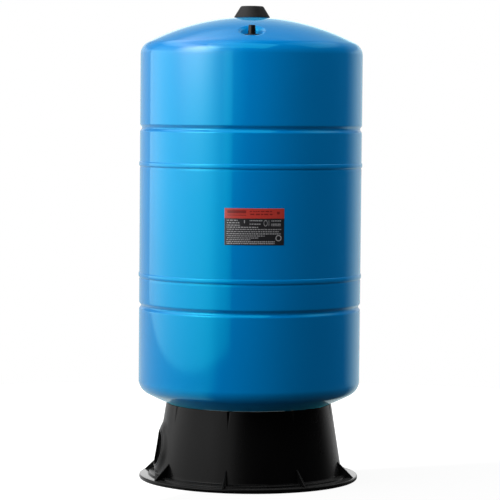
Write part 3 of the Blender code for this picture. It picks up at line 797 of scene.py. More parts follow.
def threaded(name, radius, bore, foot, top, pitch, depth, centre, material, taper=0.0):
    """A tube with an outside thread: radius less depth times a triangle wave of z/pitch - turn."""
    a = even_angles(72)
    z = np.linspace(foot, top, max(int((top - foot) / pitch * rows_per_pitch), rows_per_pitch))
    turns = z[:, None] / pitch - a[None, :] / (2 * pi)
    wave = np.abs(2 * (turns % 1.0) - 1)
    fade = np.clip(np.minimum(z - foot, top - z) / pitch, 0, 1)[:, None]
    r = radius + taper * (z - foot)[:, None] - depth * (1 - fade * wave)
    x = centre[0] + r * np.sin(a)
    y = centre[1] - r * np.cos(a)
    outer = np.stack([x, y, np.broadcast_to(z[:, None], x.shape)], -1)
    points = np.concatenate([outer, turn([(bore, top), (bore, foot)], a, centre)])
    quads = grid_quads(points.shape[0], points.shape[1], True, True)
    return mesh_piece(name, points.reshape(-1, 3), quads, "tank", material)


# %% [markdown]
# Six bolts hold the flange under the tank, and a nut holds the bladder's crown under the cap.
# They have flats, so they can't be turned. Their solids are already right in size, so each
# gets a copy: its triangles are merged into flat faces, and a small bevel rounds the edges.

# %% Bevelled bolts and nut
solid_merge = 1e-6
flat_angle, edge_angle = radians(1), radians(35)
bolt_edge = 0.0004


def dressed(node):
    """A merged, bevelled and smooth copy of a small steel solid, which it replaces."""
    copy = bmesh.new()
    copy.from_mesh(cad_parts[node].data)
    bmesh.ops.remove_doubles(copy, verts=copy.verts, dist=solid_merge)
    bmesh.ops.dissolve_limit(copy, angle_limit=flat_angle, verts=copy.verts, edges=copy.edges)
    mesh = bpy.data.meshes.new(node + "_dressed")
    copy.to_mesh(mesh)
    copy.free()
    piece = add_piece(node + "_dressed", mesh, "tank", zinc, edge_angle)
    soften_edges(piece, bolt_edge, 2, edge_angle)
    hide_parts(node)


for number in range(1, 7):
    dressed(f"flange_bolt_{number}")
dressed("top_nut")

# %% [markdown]
# Under the centre cap the bladder's stud comes up through a rubber seal and a plated washer.
# They are flat rings, so one helper reads each ring's box from its solid and turns it with
# softened edges. The stud is turned too, with its thread as a tube of its own over the shaft.

# %% Stud, seal and washer
stud_shaft, stud_plate, stud_chamfer = 0.0080, 0.003, 0.001


def plain_ring(node, material, bore, edge=0.0003, steps=3, columns=96):
    """A flat ring the size of a ring-shaped solid, with softened edges."""
    low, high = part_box(node)
    outline = rounded([(bore, low.z), (high.x, low.z), (high.x, high.z), (bore, high.z)], edge, steps)
    piece = turned_piece(node + "_round", outline, "tank", material, columns)
    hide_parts(node)


plain_ring("top_seal", rubber, hole_radius)
plain_ring("top_washer", zinc, hole_radius)
low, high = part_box("bladder_stud")
outline = [(0.0, low.z), (high.x, low.z), (high.x, low.z + stud_plate), (stud_shaft, low.z + stud_plate),
           (stud_shaft, high.z - stud_chamfer), (stud_shaft - stud_chamfer, high.z), (0.0, high.z)]
stud = turned_piece("bladder_stud_round", rounded(outline, 0.0004, 2), "tank", zinc, 96)
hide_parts("bladder_stud")
threaded("bladder_stud_thread", radius=0.00815, bore=0.0072, foot=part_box("top_washer")[1].z,
         top=high.z - 0.0012, pitch=0.0020, depth=0.0010, centre=(0, 0), material=zinc)

# %% [markdown]
# The rubber disc in the recess is the head of a grommet, which is snapped through a hole in
# the floor and grips the sheet between two flanges. A flat disc would do for the photo. The
# whole spool is turned here, because it shows how the valve is held when the tank is cut.

# %% Valve grommet
grommet_low, grommet_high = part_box("valve_grommet")
grommet_foot, grommet_top = grommet_low.z, grommet_high.z
grommet_bore, grommet_neck, inner_flange, flange_height = 0.0050, 0.0077, 0.0115, 0.002
outline = [(grommet_bore, grommet_foot), (inner_flange, grommet_foot),
           (inner_flange, grommet_foot + flange_height), (grommet_neck, grommet_foot + flange_height),
           (grommet_neck, grommet_top - grommet_head), (grommet_high.x, grommet_top - grommet_head),
           (grommet_high.x, grommet_top), (grommet_bore, grommet_top)]
grommet = turned_piece("valve_grommet_round", rounded(outline, 0.0005, 4), "tank", rubber, 96,
                       valve)
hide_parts("valve_grommet")

# %% [markdown]
# The valve's stem is a turned brass tube with a wide collar that holds it under the grommet,
# and a thinner threaded end for the dust cap. It is one outline again, drawn up the outside
# and down the bore, with a narrow lip at the foot that the spring stands on.

# %% Valve stem
low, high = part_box("valve_stem")
stem_radius, end_radius, stem_bore, lip_bore = 0.00475, 0.0036, 0.0027, 0.0014
collar_radius, collar_low, collar_high = 0.0090, grommet_foot - 0.0025, grommet_foot - clearance
stem_top, shoulder_height = high.z, grommet_top + 0.002
outline = [(lip_bore, low.z), (stem_radius, low.z), (stem_radius, collar_low), (collar_radius, collar_low),
           (collar_radius, collar_high), (stem_radius, collar_high), (stem_radius, shoulder_height),
           (end_radius, shoulder_height), (end_radius, stem_top), (stem_bore, stem_top),
           (stem_bore, low.z + 0.002), (lip_bore, low.z + 0.002)]
stem = turned_piece("valve_stem_round", rounded(outline, 0.0002, 2), "tank", brass, 64, valve)
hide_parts("valve_stem")
threaded("valve_stem_thread", radius=0.00385, bore=0.0034, foot=shoulder_height + 0.0006,
         top=stem_top - 0.0002, pitch=0.0008, depth=0.00045, centre=valve, material=brass)

# %% [markdown]
# Inside the stem a small barrel guides the pin. The pin carries a flange that closes the
# barrel from below, and pressing the pin opens it. Both are thin turned pieces, small enough
# to leave out of a photo, but the pin is a moving part, so it has its real shape.

# %% Core barrel and pin
low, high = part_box("valve_core_barrel")
barrel_bore, barrel_radius, barrel_foot = 0.0011, 0.0024, low.z
outline = [(barrel_bore, low.z), (barrel_radius, low.z), (barrel_radius, high.z), (barrel_bore, high.z)]
barrel = turned_piece("valve_core_round", rounded(outline, 0.00015, 2), "tank", brass, 48, valve)
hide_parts("valve_core_barrel")

low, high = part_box("valve_pin")
pin_radius, pin_flange = 0.0006, high.x
pin_flange_top = barrel_foot - clearance
pin_flange_foot = pin_flange_top - 0.0022
outline = [(0.0, low.z), (pin_radius, low.z), (pin_radius, pin_flange_foot), (pin_flange, pin_flange_foot),
           (pin_flange, pin_flange_top), (pin_radius, pin_flange_top), (pin_radius, high.z), (0.0, high.z)]
pin = turned_piece("valve_pin_round", rounded(outline, 0.0001, 2), "valve_pin", brass, 32, valve)
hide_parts("valve_pin")

# %% [markdown]
# The pin is held up by a coil spring inside the stem. The spring is round wire carried along a screw line,
# with a mesh of its own. In the real valve it is pressed towards its foot while the pin goes down, so it
# never runs into the pin's head; here it is built at rest and the pin's travel is only named. A stiff coil
# that slides with the pin would sink into the stem's foot instead.

# %% Valve spring
low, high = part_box("valve_spring")
wire, spring_turns, pin_travel = 0.00022, 4, 0.001
coil_rows, wire_columns = 160, 10
coil_radius = high.x - wire
spring_height = high.z - low.z
t = np.linspace(0, 1, coil_rows)
middle = 2 * pi * spring_turns * t
around = np.linspace(0, 2 * pi, wire_columns, endpoint=False)
thickness = np.where((t > 0) & (t < 1), wire, 0.0)[:, None]
reach = coil_radius + thickness * np.cos(around)[None, :]
rise = low.z + wire + (spring_height - 2 * wire) * t[:, None] + thickness * np.sin(around)[None, :]
points = np.stack([reach * np.sin(middle)[:, None], valve_y - reach * np.cos(middle)[:, None], rise], -1)
quads = grid_quads(coil_rows, wire_columns, False, True)
spring = mesh_piece("valve_spring_coil", points.reshape(-1, 3), quads, "tank", zinc)
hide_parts("valve_spring")
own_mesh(spring)
print("spring presses from", round(spring_height, 5), "by", pin_travel)

# %% [markdown]
# The dust cap is a small smooth cone that screws on the end of the stem. A solid cone would
# look the same in the photo, but it also lifts off, so it has its bore and a step inside for
# the seal. Its edges are rounded more than elsewhere, which gives it its soft highlight.

# %% Dust cap
low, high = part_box("valve_cap")
dust_foot_radius, dust_top_radius = high.x, 0.0056
dust_mouth, dust_bore, dust_lid, dust_rim = 0.0052, 0.0043, 0.002, 0.0008
outline = [(0.0, high.z), (dust_top_radius, high.z), (dust_foot_radius, low.z + dust_rim),
           (dust_foot_radius, low.z), (dust_mouth, low.z), (dust_mouth, shoulder_height + 0.0003),
           (dust_bore, shoulder_height + 0.0005), (dust_bore, high.z - dust_lid), (0.0, high.z - dust_lid)]
outline = rounded(outline, 0.0009, 6)
dust_cap = turned_piece("dust_cap", outline, "dust_cap", cap_gloss, 120, valve)
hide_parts("valve_cap")

# %% [markdown]
# The stand is one large moulding: a cone that carries the dished bottom on its rim, a low
# ledge, a wide flange and eight small gussets. Above each gusset a tapering V flute is
# sunk into the top of the wall, where a rib stands behind it. Its main sizes are named first,
# because wall, window and gussets all hang on them.

# %% Sizes of the stand
lean = radians(9.0)
stand_wall = 0.0036
seat_radius = 0.1455
seat_z = lower_pole + float(dish(seat_radius)) - clearance
seat_in = seat_radius - stand_wall
flange_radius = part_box("stand")[1].x
flange_z = 0.0067
ledge_z = flange_z + 0.0040
ledge_width = 0.011
gusset_count = 8
gusset_turns = radians(-13.5) + 2 * pi * np.arange(gusset_count) / gusset_count
window_turn = radians(-81.0)
window_z = 0.0554
window_radius = 0.0305
boss_rise = 0.0042
boss_start, boss_width = 0.002, 0.018
print("stand carries the tank at height", round(seat_z, 4))


def wall_radius(z, inset=0.0):
    """Radius of the leaning wall at a height, the inset measured square to it."""
    return seat_radius + (seat_z - z) * tan(lean) - inset / cos(lean)


def turned_away(angles, turns):
    """Signed angle from each of the turns, by the short way round."""
    return (np.asarray(angles)[:, None] - np.atleast_1d(turns)[None, :] + pi) % (2 * pi) - pi


# %% [markdown]
# The section of the moulding is a closed outline: over the rim, down the leaning wall, over
# ledge and flange and back inside. Each corner has a radius of its own, because the ledge is
# soft and the rim is crisp. The columns of the grid are packed close at the flutes, so that
# each V has straight flanks.

# %% Section and columns of the stand
ledge_radius = wall_radius(ledge_z) + ledge_width
corners_and_rounds = [
    ((seat_in, lower_pole + float(dish(seat_in)) - 0.0004), 0.0008),
    ((seat_radius, seat_z - 0.0006), 0.0006),
    ((wall_radius(ledge_z), ledge_z), 0.0030),
    ((ledge_radius, ledge_z - 0.0008), 0.0018),
    ((ledge_radius + 0.0008, flange_z + 0.0006), 0.0015),
    ((flange_radius, flange_z), 0.0022),
    ((flange_radius, 0.0), 0.0030),
    ((wall_radius(0.0, stand_wall), 0.0), 0.0008)]
corners, rounds = zip(*corners_and_rounds)
section = stepped(rounded(corners, rounds, 7), 0.004)

flute_half = 0.0030 / seat_radius
fine = (gusset_turns[:, None] + np.linspace(-1.6, 1.6, 21)[None, :] * flute_half).ravel()
coarse = even_angles(256)
gap = np.abs(turned_away(coarse, gusset_turns)).min(1)
stand_angles = np.sort(np.concatenate([(fine + pi) % (2 * pi) - pi, coarse[gap > 1.75 * flute_half]]))
print("stand has", len(section), "rows and", len(stand_angles), "columns")

# %% [markdown]
# Flutes and the soft boss round the pipe window are pushed into the same grid: each point
# moves in or out by a small amount that depends on its place. The flute's depth falls off in
# a straight line from its middle, which gives the V, and grows towards the rim. The boss
# fades out in a smooth step, so the wall swells towards the window without an edge.

# %% Stand wall and flange
flute_depth, flute_length = 0.0022, 0.031
off = np.abs(turned_away(stand_angles, gusset_turns)).min(1)
taper = np.clip((section[:, 1] - seat_z + flute_length) / flute_length, 0, 1)
outside = section[:, 0] > wall_radius(section[:, 1], stand_wall * 0.75)
width = np.maximum(flute_half * taper, 1e-6)
sink = np.clip(1 - off[None, :] / width[:, None], 0, 1) * (flute_depth * taper * outside)[:, None]

across = turned_away(stand_angles, window_turn).T * wall_radius(window_z)
beyond = np.hypot(across, (section[:, 1] - window_z)[:, None] / cos(lean)) - window_radius
fade = np.clip((beyond - boss_start) / boss_width, 0, 1)
lift = boss_rise * (1 - fade ** 2 * (3 - 2 * fade))

points = turn(section, stand_angles)
points[..., :2] *= (1 + (lift - sink) / section[:, 0][:, None])[..., None]
quads = grid_quads(len(section), len(stand_angles), True, True)
stand = mesh_piece("stand_moulding", points.reshape(-1, 3), quads, "tank", stand_black)
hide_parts("stand")

# %% [markdown]
# The pipe leaves through a round window in the leaning wall. Fitting the grid's rows to a
# circle would bend them all, so the hole is drilled with a boolean, square to the wall. A
# boolean leaves a raw edge. A small turned collar, bent to the round of the wall, covers it
# and gives the window its moulded rim.

# %% Pipe window
drill_half, drill_spare = 0.03, 0.001
collar_width, collar_back, collar_front = 0.0030, 0.0045, 0.0006
lie_down = Matrix.Rotation(lean, 4, "Y").inverted() @ Matrix.Rotation(pi / 2, 4, "Y")
window_place = (Matrix.Rotation(window_turn - pi / 2, 4, "Z")
                @ Matrix.Translation((wall_radius(window_z) + boss_rise, 0.0, window_z)) @ lie_down)


def at_window(name, outline, columns, bend_radius=0.0):
    """A closed outline turned about the window's axis, its place kept in its mesh.

    Where a bend radius is given it follows the round wall: a point s to the side of the
    axis sinks by s^2 / (2 R).
    """
    points = turn(outline, even_angles(columns)).reshape(-1, 3)
    if bend_radius:
        points[:, 2] -= points[:, 1] ** 2 / (2 * bend_radius)
    points = points @ np.array(window_place.to_3x3()).T + np.array(window_place.translation)
    quads = grid_quads(len(outline), columns, closes_on_itself(outline), True)
    return mesh_piece(name, points, quads, "tank", stand_black)


drill_radius = window_radius + drill_spare
drill = at_window("window_drill", [(0.0, -drill_half), (drill_radius, -drill_half),
                                   (drill_radius, drill_half), (0.0, drill_half)], 96)
cut = stand.modifiers.new("window", "BOOLEAN")
cut.operation = "DIFFERENCE"
cut.solver = "EXACT"
cut.object = drill
with bpy.context.temp_override(object=stand, active_object=stand):
    bpy.ops.object.modifier_apply(modifier="window")
bpy.data.objects.remove(drill, do_unlink=True)

collar = rounded([(window_radius, -collar_back), (window_radius + collar_width, -0.0030),
                  (window_radius + collar_width, 0.0004), (window_radius, collar_front)], 0.0006, 4)
at_window("window_collar", collar, 128, wall_radius(window_z))
print("drilled stand has", len(stand.data.polygons), "faces")

# %% [markdown]
# Eight gussets brace the wall on the flange, and eight ribs inside carry the rim. Both are
# thin upright plates, so each is an outline in radius and height pulled to a thickness. They
# could be cubes pushed into shape, but an outline lets the top edge follow the wall and the
# dished bottom exactly. A bevel rounds their edges.

# %% Gussets and ribs
fin_thickness, fin_edge = 0.0026, 0.0006
fin_root, fin_sink = 0.0018, 0.0015


def fins(name, corners):
    """Eight upright plates on the stand, their outline in radius and height, as closed boxes."""
    corners = np.asarray(corners, float)
    count = len(corners)
    plates = bmesh.new()
    for turn_to in gusset_turns:
        sides = []
        for side in (-fin_thickness / 2, fin_thickness / 2):
            x = corners[:, 0] * sin(turn_to) + side * cos(turn_to)
            y = -corners[:, 0] * cos(turn_to) + side * sin(turn_to)
            sides.append([plates.verts.new(p) for p in zip(x, y, corners[:, 1])])
        plates.faces.new(sides[0])
        plates.faces.new(sides[1][::-1])
        for k in range(count):
            after = (k + 1) % count
            plates.faces.new((sides[0][after], sides[0][k], sides[1][k], sides[1][after]))
    bmesh.ops.recalc_face_normals(plates, faces=plates.faces)
    mesh = bpy.data.meshes.new(name)
    plates.to_mesh(mesh)
    plates.free()
    piece = add_piece(name, mesh, "tank", stand_black)
    soften_edges(piece, fin_edge, 3)


gusset_top = ledge_z + 0.024
gusset_tip = wall_radius(flange_z) + 0.0245
fins("stand_gussets", [(wall_radius(gusset_top, fin_root), gusset_top), (wall_radius(gusset_top), gusset_top),
                       (gusset_tip, flange_z), (gusset_tip, flange_z - fin_sink),
                       (wall_radius(flange_z, fin_root), flange_z - fin_sink)])

rib_gap = 0.0006
rib_in, rib_heel, rib_foot = seat_in - 0.018, 0.068, 0.050
rib_top = lower_pole + float(dish(seat_in)) - rib_gap - 0.0004
fins("stand_ribs", [(rib_in, rib_heel), (rib_in, lower_pole + float(dish(rib_in)) - rib_gap),
                    (seat_in, rib_top), (seat_radius - fin_root, rib_top),
                    (wall_radius(rib_foot, fin_root), rib_foot),
                    (wall_radius(rib_foot, stand_wall), rib_foot)])

# %% [markdown]
# The water connection under the tank is a welded ring, a bolted counter flange and the pipe
# nipple with its tapered thread. The photo hides it, and it shows when the tank is lifted or
# cut. Copies of the solids would do, but their edges are sharp, so the pieces are turned from
# the solids' boxes. The weld round the nipple waves gently, because a welder's bead is a row
# of small puddles.

# %% Water connection
counter_bore = 0.0165
plain_ring("neck_flange", enamel, neck_hole, 0.0008, 4, 128)
plain_ring("counter_flange", zinc, counter_bore, 0.0008, 4, 128)

weld_columns, weld_rows, puddles = 96, 12, 24
weld_radius, weld_size = 0.0172, 0.0022
a = even_angles(weld_columns)
b = np.linspace(0, 2 * pi, weld_rows, endpoint=False)
wave = weld_size * (1 + 0.10 * np.cos(puddles * a))[:, None]
r = weld_radius + wave * np.cos(b)[None, :]
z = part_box("counter_flange")[0].z + wave * np.sin(b)[None, :]
points = np.stack([r * np.sin(a)[:, None], -r * np.cos(a)[:, None], z], -1)
mesh_piece("nipple_weld", points.reshape(-1, 3), grid_quads(weld_columns, weld_rows, True, True),
           "tank", zinc)

low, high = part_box("water_nipple")
nipple_bore, nipple_foot_radius, nipple_radius = 0.0133, 0.0156, 0.0158
nipple_foot = low.z + 0.0002
outline = [(nipple_bore, nipple_foot), (nipple_foot_radius, nipple_foot), (nipple_radius, high.z),
           (nipple_bore, high.z)]
nipple = turned_piece("water_nipple_round", rounded(outline, 0.0004, 3), "tank", zinc, 96)
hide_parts("water_nipple")
threaded("nipple_thread", radius=0.0163, bore=0.0150, foot=low.z + 0.0004, top=low.z + 0.0135,
         pitch=0.0022, depth=0.0014, centre=(0, 0), material=zinc, taper=0.031)

# %% [markdown]
# The bladder is a moulded rubber bag inside the steel, with a thick boss on its crown for the
# stud and a flat lip that the flanges clamp. Nothing shows it from outside, but the tank can
# be cut open. A cloth blown up from a tube would wrinkle by chance. This bag is shown as it
# leaves its mould, so it is turned, with an even wall.

# %% Bladder
low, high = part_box("bladder")
bag_radius, bag_wall = high.x, 0.002
bag_rows = 24
boss_radius, boss_drop = 0.030, 0.003
boss_flat, boss_inner_flat, boss_thick = 0.020, 0.024, 0.006
lip_radius, lip_top = 0.060, low.z + 0.003
throat = 0.0441
bag_shoulder = upper_pole - head_depth - 0.026
bag_heel = lower_pole + head_depth + 0.026
quarter = np.linspace(0, pi / 2, bag_rows)


def bag_skin(inset):
    """Crown and base are quarter ellipses between the boss, the bag and the throat."""
    reach = bag_radius - inset
    boss, neck = boss_radius - inset, throat - inset
    crown_r = boss + (reach - boss) * np.cos(quarter[::-1])
    crown_z = bag_shoulder + (high.z - boss_drop - inset - bag_shoulder) * np.sin(quarter[::-1])
    base_r = neck + (reach - neck) * np.cos(quarter)
    base_z = bag_heel - (bag_heel - neck_flat - 2 * sheet - inset) * np.sin(quarter)
    return np.stack([np.concatenate([crown_r, base_r]), np.concatenate([crown_z, base_z])], -1)


outline = np.concatenate([[(hole_radius, high.z), (boss_flat, high.z)], bag_skin(0.0),
                          [(throat, lip_top), (lip_radius, lip_top)],
                          [(lip_radius, low.z), (throat - bag_wall, low.z)], bag_skin(bag_wall)[::-1],
                          [(boss_inner_flat, high.z - boss_thick), (hole_radius, high.z - boss_thick)]])
bag = turned_piece("bladder_bag", outline, "tank", butyl, 96)
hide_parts("bladder")

# %% [markdown]
# A printed plate sits on the band. What it says is left out: a red head, a black field and
# rows of pale strokes carry its look with no words. An image could hold the print, but this
# needs no file: the plate is a fine grid, and each cell takes its ink from a formula of its
# column and row.

# %% Layout of the print
plate_turn = radians(2.1)
plate_width, plate_low, plate_high = 0.1015, 0.4225, 0.4847
plate_height = plate_high - plate_low
head_height = 0.0170
cells_x, cells_z = 300, 182
mid_u = (np.arange(cells_x) + 0.5) / cells_x
mid_v = (np.arange(cells_z) + 0.5) / cells_z
U, V = np.meshgrid(mid_u, mid_v)


def stroke(u0, u1, v0, v1):
    """True for the cells of a plain rectangle in the plate's own width and height."""
    return (U > u0) & (U < u1) & (V > v0) & (V < v1)


def broken(u0, u1, v0, v1, beat, phase):
    """A line of print seen from afar: a stroke with short gaps at an uneven beat."""
    rhythm = np.sin(beat * U + phase) + np.sin(1.7 * beat * U + 2.3 * phase)
    return stroke(u0, u1, v0, v1) & (rhythm > -0.75)


def ring_sign(u, v, stretch, inner, outer):
    """True for the cells of a plain ring, its width stretched to the plate's shape."""
    distance = np.hypot((U - u) * stretch, V - v)
    return (distance < outer) & (distance > inner)


red_foot = 1 - head_height / plate_height
dark = stroke(0.045, 0.36, 0.86, 0.945) | broken(0.42, 0.80, 0.90, 0.935, 90, 1.0)
dark |= broken(0.42, 0.80, 0.82, 0.855, 80, 2.0) | stroke(0.045, 0.36, 0.80, 0.825)
dark |= (np.abs(U - 0.90) < 0.022) & (np.abs(V - 0.875) < 0.036)
print("plate is", plate_width, "by", round(plate_height, 4), "m, its red head from", round(red_foot, 3), "up")

# %% [markdown]
# The black field holds lines of small print in two columns, two signs and two upright bars.
# Each line is a stroke given by its two ends and its foot, with gaps at an uneven beat, so it
# reads as print from afar and holds no letter when looked at closely.

# %% Ink of the print
line_height = 0.026
lines_of_print = [(0.035, 0.22, 0.660), (0.035, 0.25, 0.595), (0.035, 0.26, 0.530), (0.035, 0.56, 0.475),
                  (0.035, 0.95, 0.415), (0.035, 0.91, 0.355), (0.035, 0.94, 0.297), (0.035, 0.67, 0.240),
                  (0.035, 0.57, 0.185), (0.035, 0.44, 0.135), (0.035, 0.84, 0.085), (0.035, 0.84, 0.035),
                  (0.42, 0.63, 0.655), (0.42, 0.60, 0.560), (0.78, 0.95, 0.650), (0.78, 0.94, 0.560),
                  (0.78, 0.94, 0.520)]
ink_red = np.array([0.40, 0.033, 0.024])
ink_dark_red = np.array([0.17, 0.010, 0.009])
ink_black = np.array([0.012, 0.012, 0.014])
ink_pale = np.array([0.27, 0.27, 0.28])
pale = np.zeros(U.shape, bool)
for k, (u0, u1, v0) in enumerate(lines_of_print):
    pale |= broken(u0, u1, v0, v0 + line_height, 120 + 7 * k, 1.3 * k)
pale |= stroke(0.735, 0.745, 0.52, 0.68) | stroke(0.325, 0.34, 0.60, 0.68)
pale |= ring_sign(0.905, 0.195, 1.64, 0.060, 0.085) | ring_sign(0.685, 0.60, 2.6, 0.066, 0.085)
ink = np.where((V > red_foot)[..., None], ink_red, ink_black)
ink = np.where(dark[..., None], ink_dark_red, ink)
ink = np.where((pale & (V < red_foot))[..., None], ink_pale, ink)
print("print covers", round(float(pale.mean()), 3), "of the plate")

# %% [markdown]
# The plate itself is a thin sheet of vinyl bent to the band, a front skin and a back skin
# joined round their border. A flat card would stand off at its ends, and a patch of the
# band's own faces would have no thickness. Its gap to the paint is too small to see and keeps
# the two from flickering through each other.

# %% Plate
plate_lift, plate_thick = 0.00008, 0.00022
arc = plate_turn + (np.linspace(0, 1, cells_x + 1) - 0.5) * plate_width / tank_radius
heights = plate_low + np.linspace(0, 1, cells_z + 1) * (plate_high - plate_low)


def plate_skin(radius):
    """Points of a bent sheet at a radius, one for each corner of a cell."""
    return turn(np.stack([np.full_like(heights, radius), heights], -1), arc)


corner_count = (cells_z + 1) * (cells_x + 1)
skins = [plate_skin(tank_radius + plate_lift + plate_thick), plate_skin(tank_radius + plate_lift)]
points = np.concatenate([skin.reshape(-1, 3) for skin in skins])
face = grid_quads(cells_z + 1, cells_x + 1, False, False)
number = np.arange(corner_count).reshape(cells_z + 1, cells_x + 1)
border = np.concatenate([number[0, :], number[1:, -1], number[-1, -2::-1], number[-2:0:-1, 0]])
after = np.roll(border, -1)
rim = np.stack([after, border, border + corner_count, after + corner_count], -1)
quads = np.concatenate([face, face[:, ::-1] + corner_count, rim])
print("plate has", len(face), "cells on each skin and", len(rim), "round its border")

# %% [markdown]
# Printed vinyl is ink under a thin clear film, so it has a weak clear coat over a satin base
# and a slight ripple. The ink of each cell is kept on the mesh as a colour attribute, which
# the material reads.

# %% Vinyl
vinyl, film = principled("printed_vinyl", (0.02, 0.02, 0.02), 0.30)
tune(film, {"Coat Weight": 0.35, "Coat Roughness": 0.12})
inks = vinyl.node_tree.nodes.new("ShaderNodeAttribute")
inks.attribute_name = "ink"
vinyl.node_tree.links.new(inks.outputs["Color"], film.inputs["Base Color"])
grained(vinyl, film, 0.004, 2.0, 0.00002)
plate = mesh_piece("printed_plate", points, quads, "tank", vinyl, None)
colours = np.tile(np.append(ink_black, 1.0), (len(quads), 1))
colours[:len(face), :3] = ink.reshape(-1, 3)
ink_layer = plate.data.attributes.new("ink", "FLOAT_COLOR", "FACE")
ink_layer.data.foreach_set("color", colours[:len(plate.data.polygons)].astype(np.float32).ravel())

# %% [markdown]
# One small solid stays as it is: the dust cap's seal, a flat rubber ring inside the cap. It
# is hidden while the cap is on and plain when it is off, so it only takes the rubber finish.

# %% Seal of the dust cap
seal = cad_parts["valve_cap_seal"]
seal.data.materials.clear()
seal.data.materials.append(rubber)
print("seal has the finish", rubber.name)

# %% [markdown]
# The studio is a white floor, a white backdrop and a dim room in front. Glossy paint seen at
# a slant mirrors what is behind it, so the rims turn pale, while the front mirrors the dim
# room and keeps its full blue. A real room could be built of walls. Here floor and world give
# a level for each direction, and they tell a ray that is seen or mirrored from the light that
# falls on things, so that the paint's picture and its lighting can be set apart.

# %% Helpers for the studio
behind_edge, left_edge = (0.35, 0.85, 0.0, 1.0), (-0.12, 0.25, 0.0, 1.0)
left_slant = 0.65


def seen_rays(tree):
    """Two levels: 1 for camera rays, and 1 for camera, glossy and transmission rays."""
    path = tree.nodes.new("ShaderNodeLightPath").outputs
    seen = join(tree, "MAXIMUM", path["Is Camera Ray"], path["Is Glossy Ray"], path["Is Transmission Ray"])
    return path["Is Camera Ray"], seen


def lit_side(tree, direction):
    """How white the room is in a direction (x, y): behind the tank, and out to its left."""
    to = parts_of(tree, direction)
    behind = ramp(tree, to["Y"], *behind_edge)
    left = join(tree, "SUBTRACT", join(tree, "MULTIPLY", to["Y"], left_slant), to["X"])
    return join(tree, "MAXIMUM", behind, ramp(tree, left, *left_edge)), to


# %% [markdown]
# The floor is a plain disc. The camera sees it as pure white, so it must give light of its
# own, because a lit floor would show shadows and a grey edge. What the stand's gloss mirrors
# is darker, and the light that it throws back up is darker still, most of it from behind and
# from the left.

# %% White floor
floor_white = 0.92
mirrored_floor = 0.32
thrown_back, thrown_least = 0.35, 0.05
floor_rings = [(0.0, 0.0), (0.4, 0.0), (0.8, 0.0), (1.5, 0.0)]
floor_columns = 96
floor_points = turn(floor_rings, even_angles(floor_columns)).reshape(-1, 3)
floor_quads = grid_quads(len(floor_rings), floor_columns, False, True)[:, ::-1]
floor_mesh = bpy.data.meshes.new("floor")
floor_mesh.from_pydata(floor_points.tolist(), [], floor_quads.tolist())
floor = bpy.data.objects.new("floor", floor_mesh)
scene.collection.objects.link(floor)

floor_paint = bpy.data.materials.new("floor_white")
floor_paint.use_nodes = True
tree = floor_paint.node_tree
tree.nodes.clear()
output = tree.nodes.new("ShaderNodeOutputMaterial")
place = tree.nodes.new("ShaderNodeTexCoord")
outward = tree.nodes.new("ShaderNodeVectorMath")
outward.operation = "NORMALIZE"
tree.links.new(place.outputs["Object"], outward.inputs[0])
side, to = lit_side(tree, outward.outputs[0])
camera_ray, seen = seen_rays(tree)

matt = tree.nodes.new("ShaderNodeBsdfDiffuse")
grey = tree.nodes.new("ShaderNodeCombineColor")
level = join(tree, "ADD", join(tree, "MULTIPLY", side, thrown_back), thrown_least)
for socket in grey.inputs[:3]:
    tree.links.new(level, socket)
tree.links.new(grey.outputs[0], matt.inputs["Color"])
glow = tree.nodes.new("ShaderNodeEmission")
tune(glow, {"Color": (1.0, 1.0, 1.0, 1.0)})
mirrored = join(tree, "MULTIPLY", seen, side, mirrored_floor)
direct = join(tree, "MULTIPLY", camera_ray, floor_white)
tree.links.new(join(tree, "MAXIMUM", mirrored, direct), glow.inputs["Strength"])
both = tree.nodes.new("ShaderNodeAddShader")
tree.links.new(matt.outputs[0], both.inputs[0])
tree.links.new(glow.outputs[0], both.inputs[1])
tree.links.new(both.outputs[0], output.inputs["Surface"])
floor_mesh.materials.append(floor_paint)
print("floor reaches", floor_rings[-1][0], "m from the axis")

# %% [markdown]
# The world is what the paint mirrors, and much of the tank's look comes from it. A picture
# of a real studio could be wrapped round the scene, but here each bright shape answers to one
# place on the paint. Behind the tank it is bright and low, which lights the rims. Two wings,
# left and right, rise high and draw the pale rim of the dome. A narrow strip behind shows on
# the far side of the crown, and a dim patch in front, to the left, shows on the wall. Each
# edge below gives where a smooth step starts and stops, and its level before and after.

# %% What the paint mirrors
behind_by_height = [(0.05, 0.80), (0.13, 0.95), (0.17, 0.95), (0.26, 0.42), (0.50, 0.34), (1.0, 0.15)]
wing_by_height = [(0.50, 0.0), (0.64, 0.60), (0.74, 0.72), (0.82, 0.50), (0.92, 0.36), (1.0, 0.80)]
strip_by_height = [(0.08, 0.0), (0.13, 0.85), (0.17, 0.85), (0.26, 0.34), (0.40, 0.14), (0.55, 0.0)]
wing_left, wing_right = (0.15, -0.42, 0.0, 2.4), (0.25, 0.42, 0.0, 1.0)
wing_back = (-0.25, -0.05, 0.0, 1.0)
patch_right, patch_left = (0.02, -0.36, 0.0, 0.55), (-0.52, -0.40, 0.0, 1.0)
patch_front, patch_foot = (-0.60, -0.80, 0.0, 1.0), (-0.08, 0.02, 0.0, 1.0)
strip_left, strip_right = (-0.22, -0.10, 0.0, 1.0), (0.18, 0.06, 0.0, 1.0)
strip_back = (0.75, 0.88, 0.0, 1.0)
dimmest = 0.03

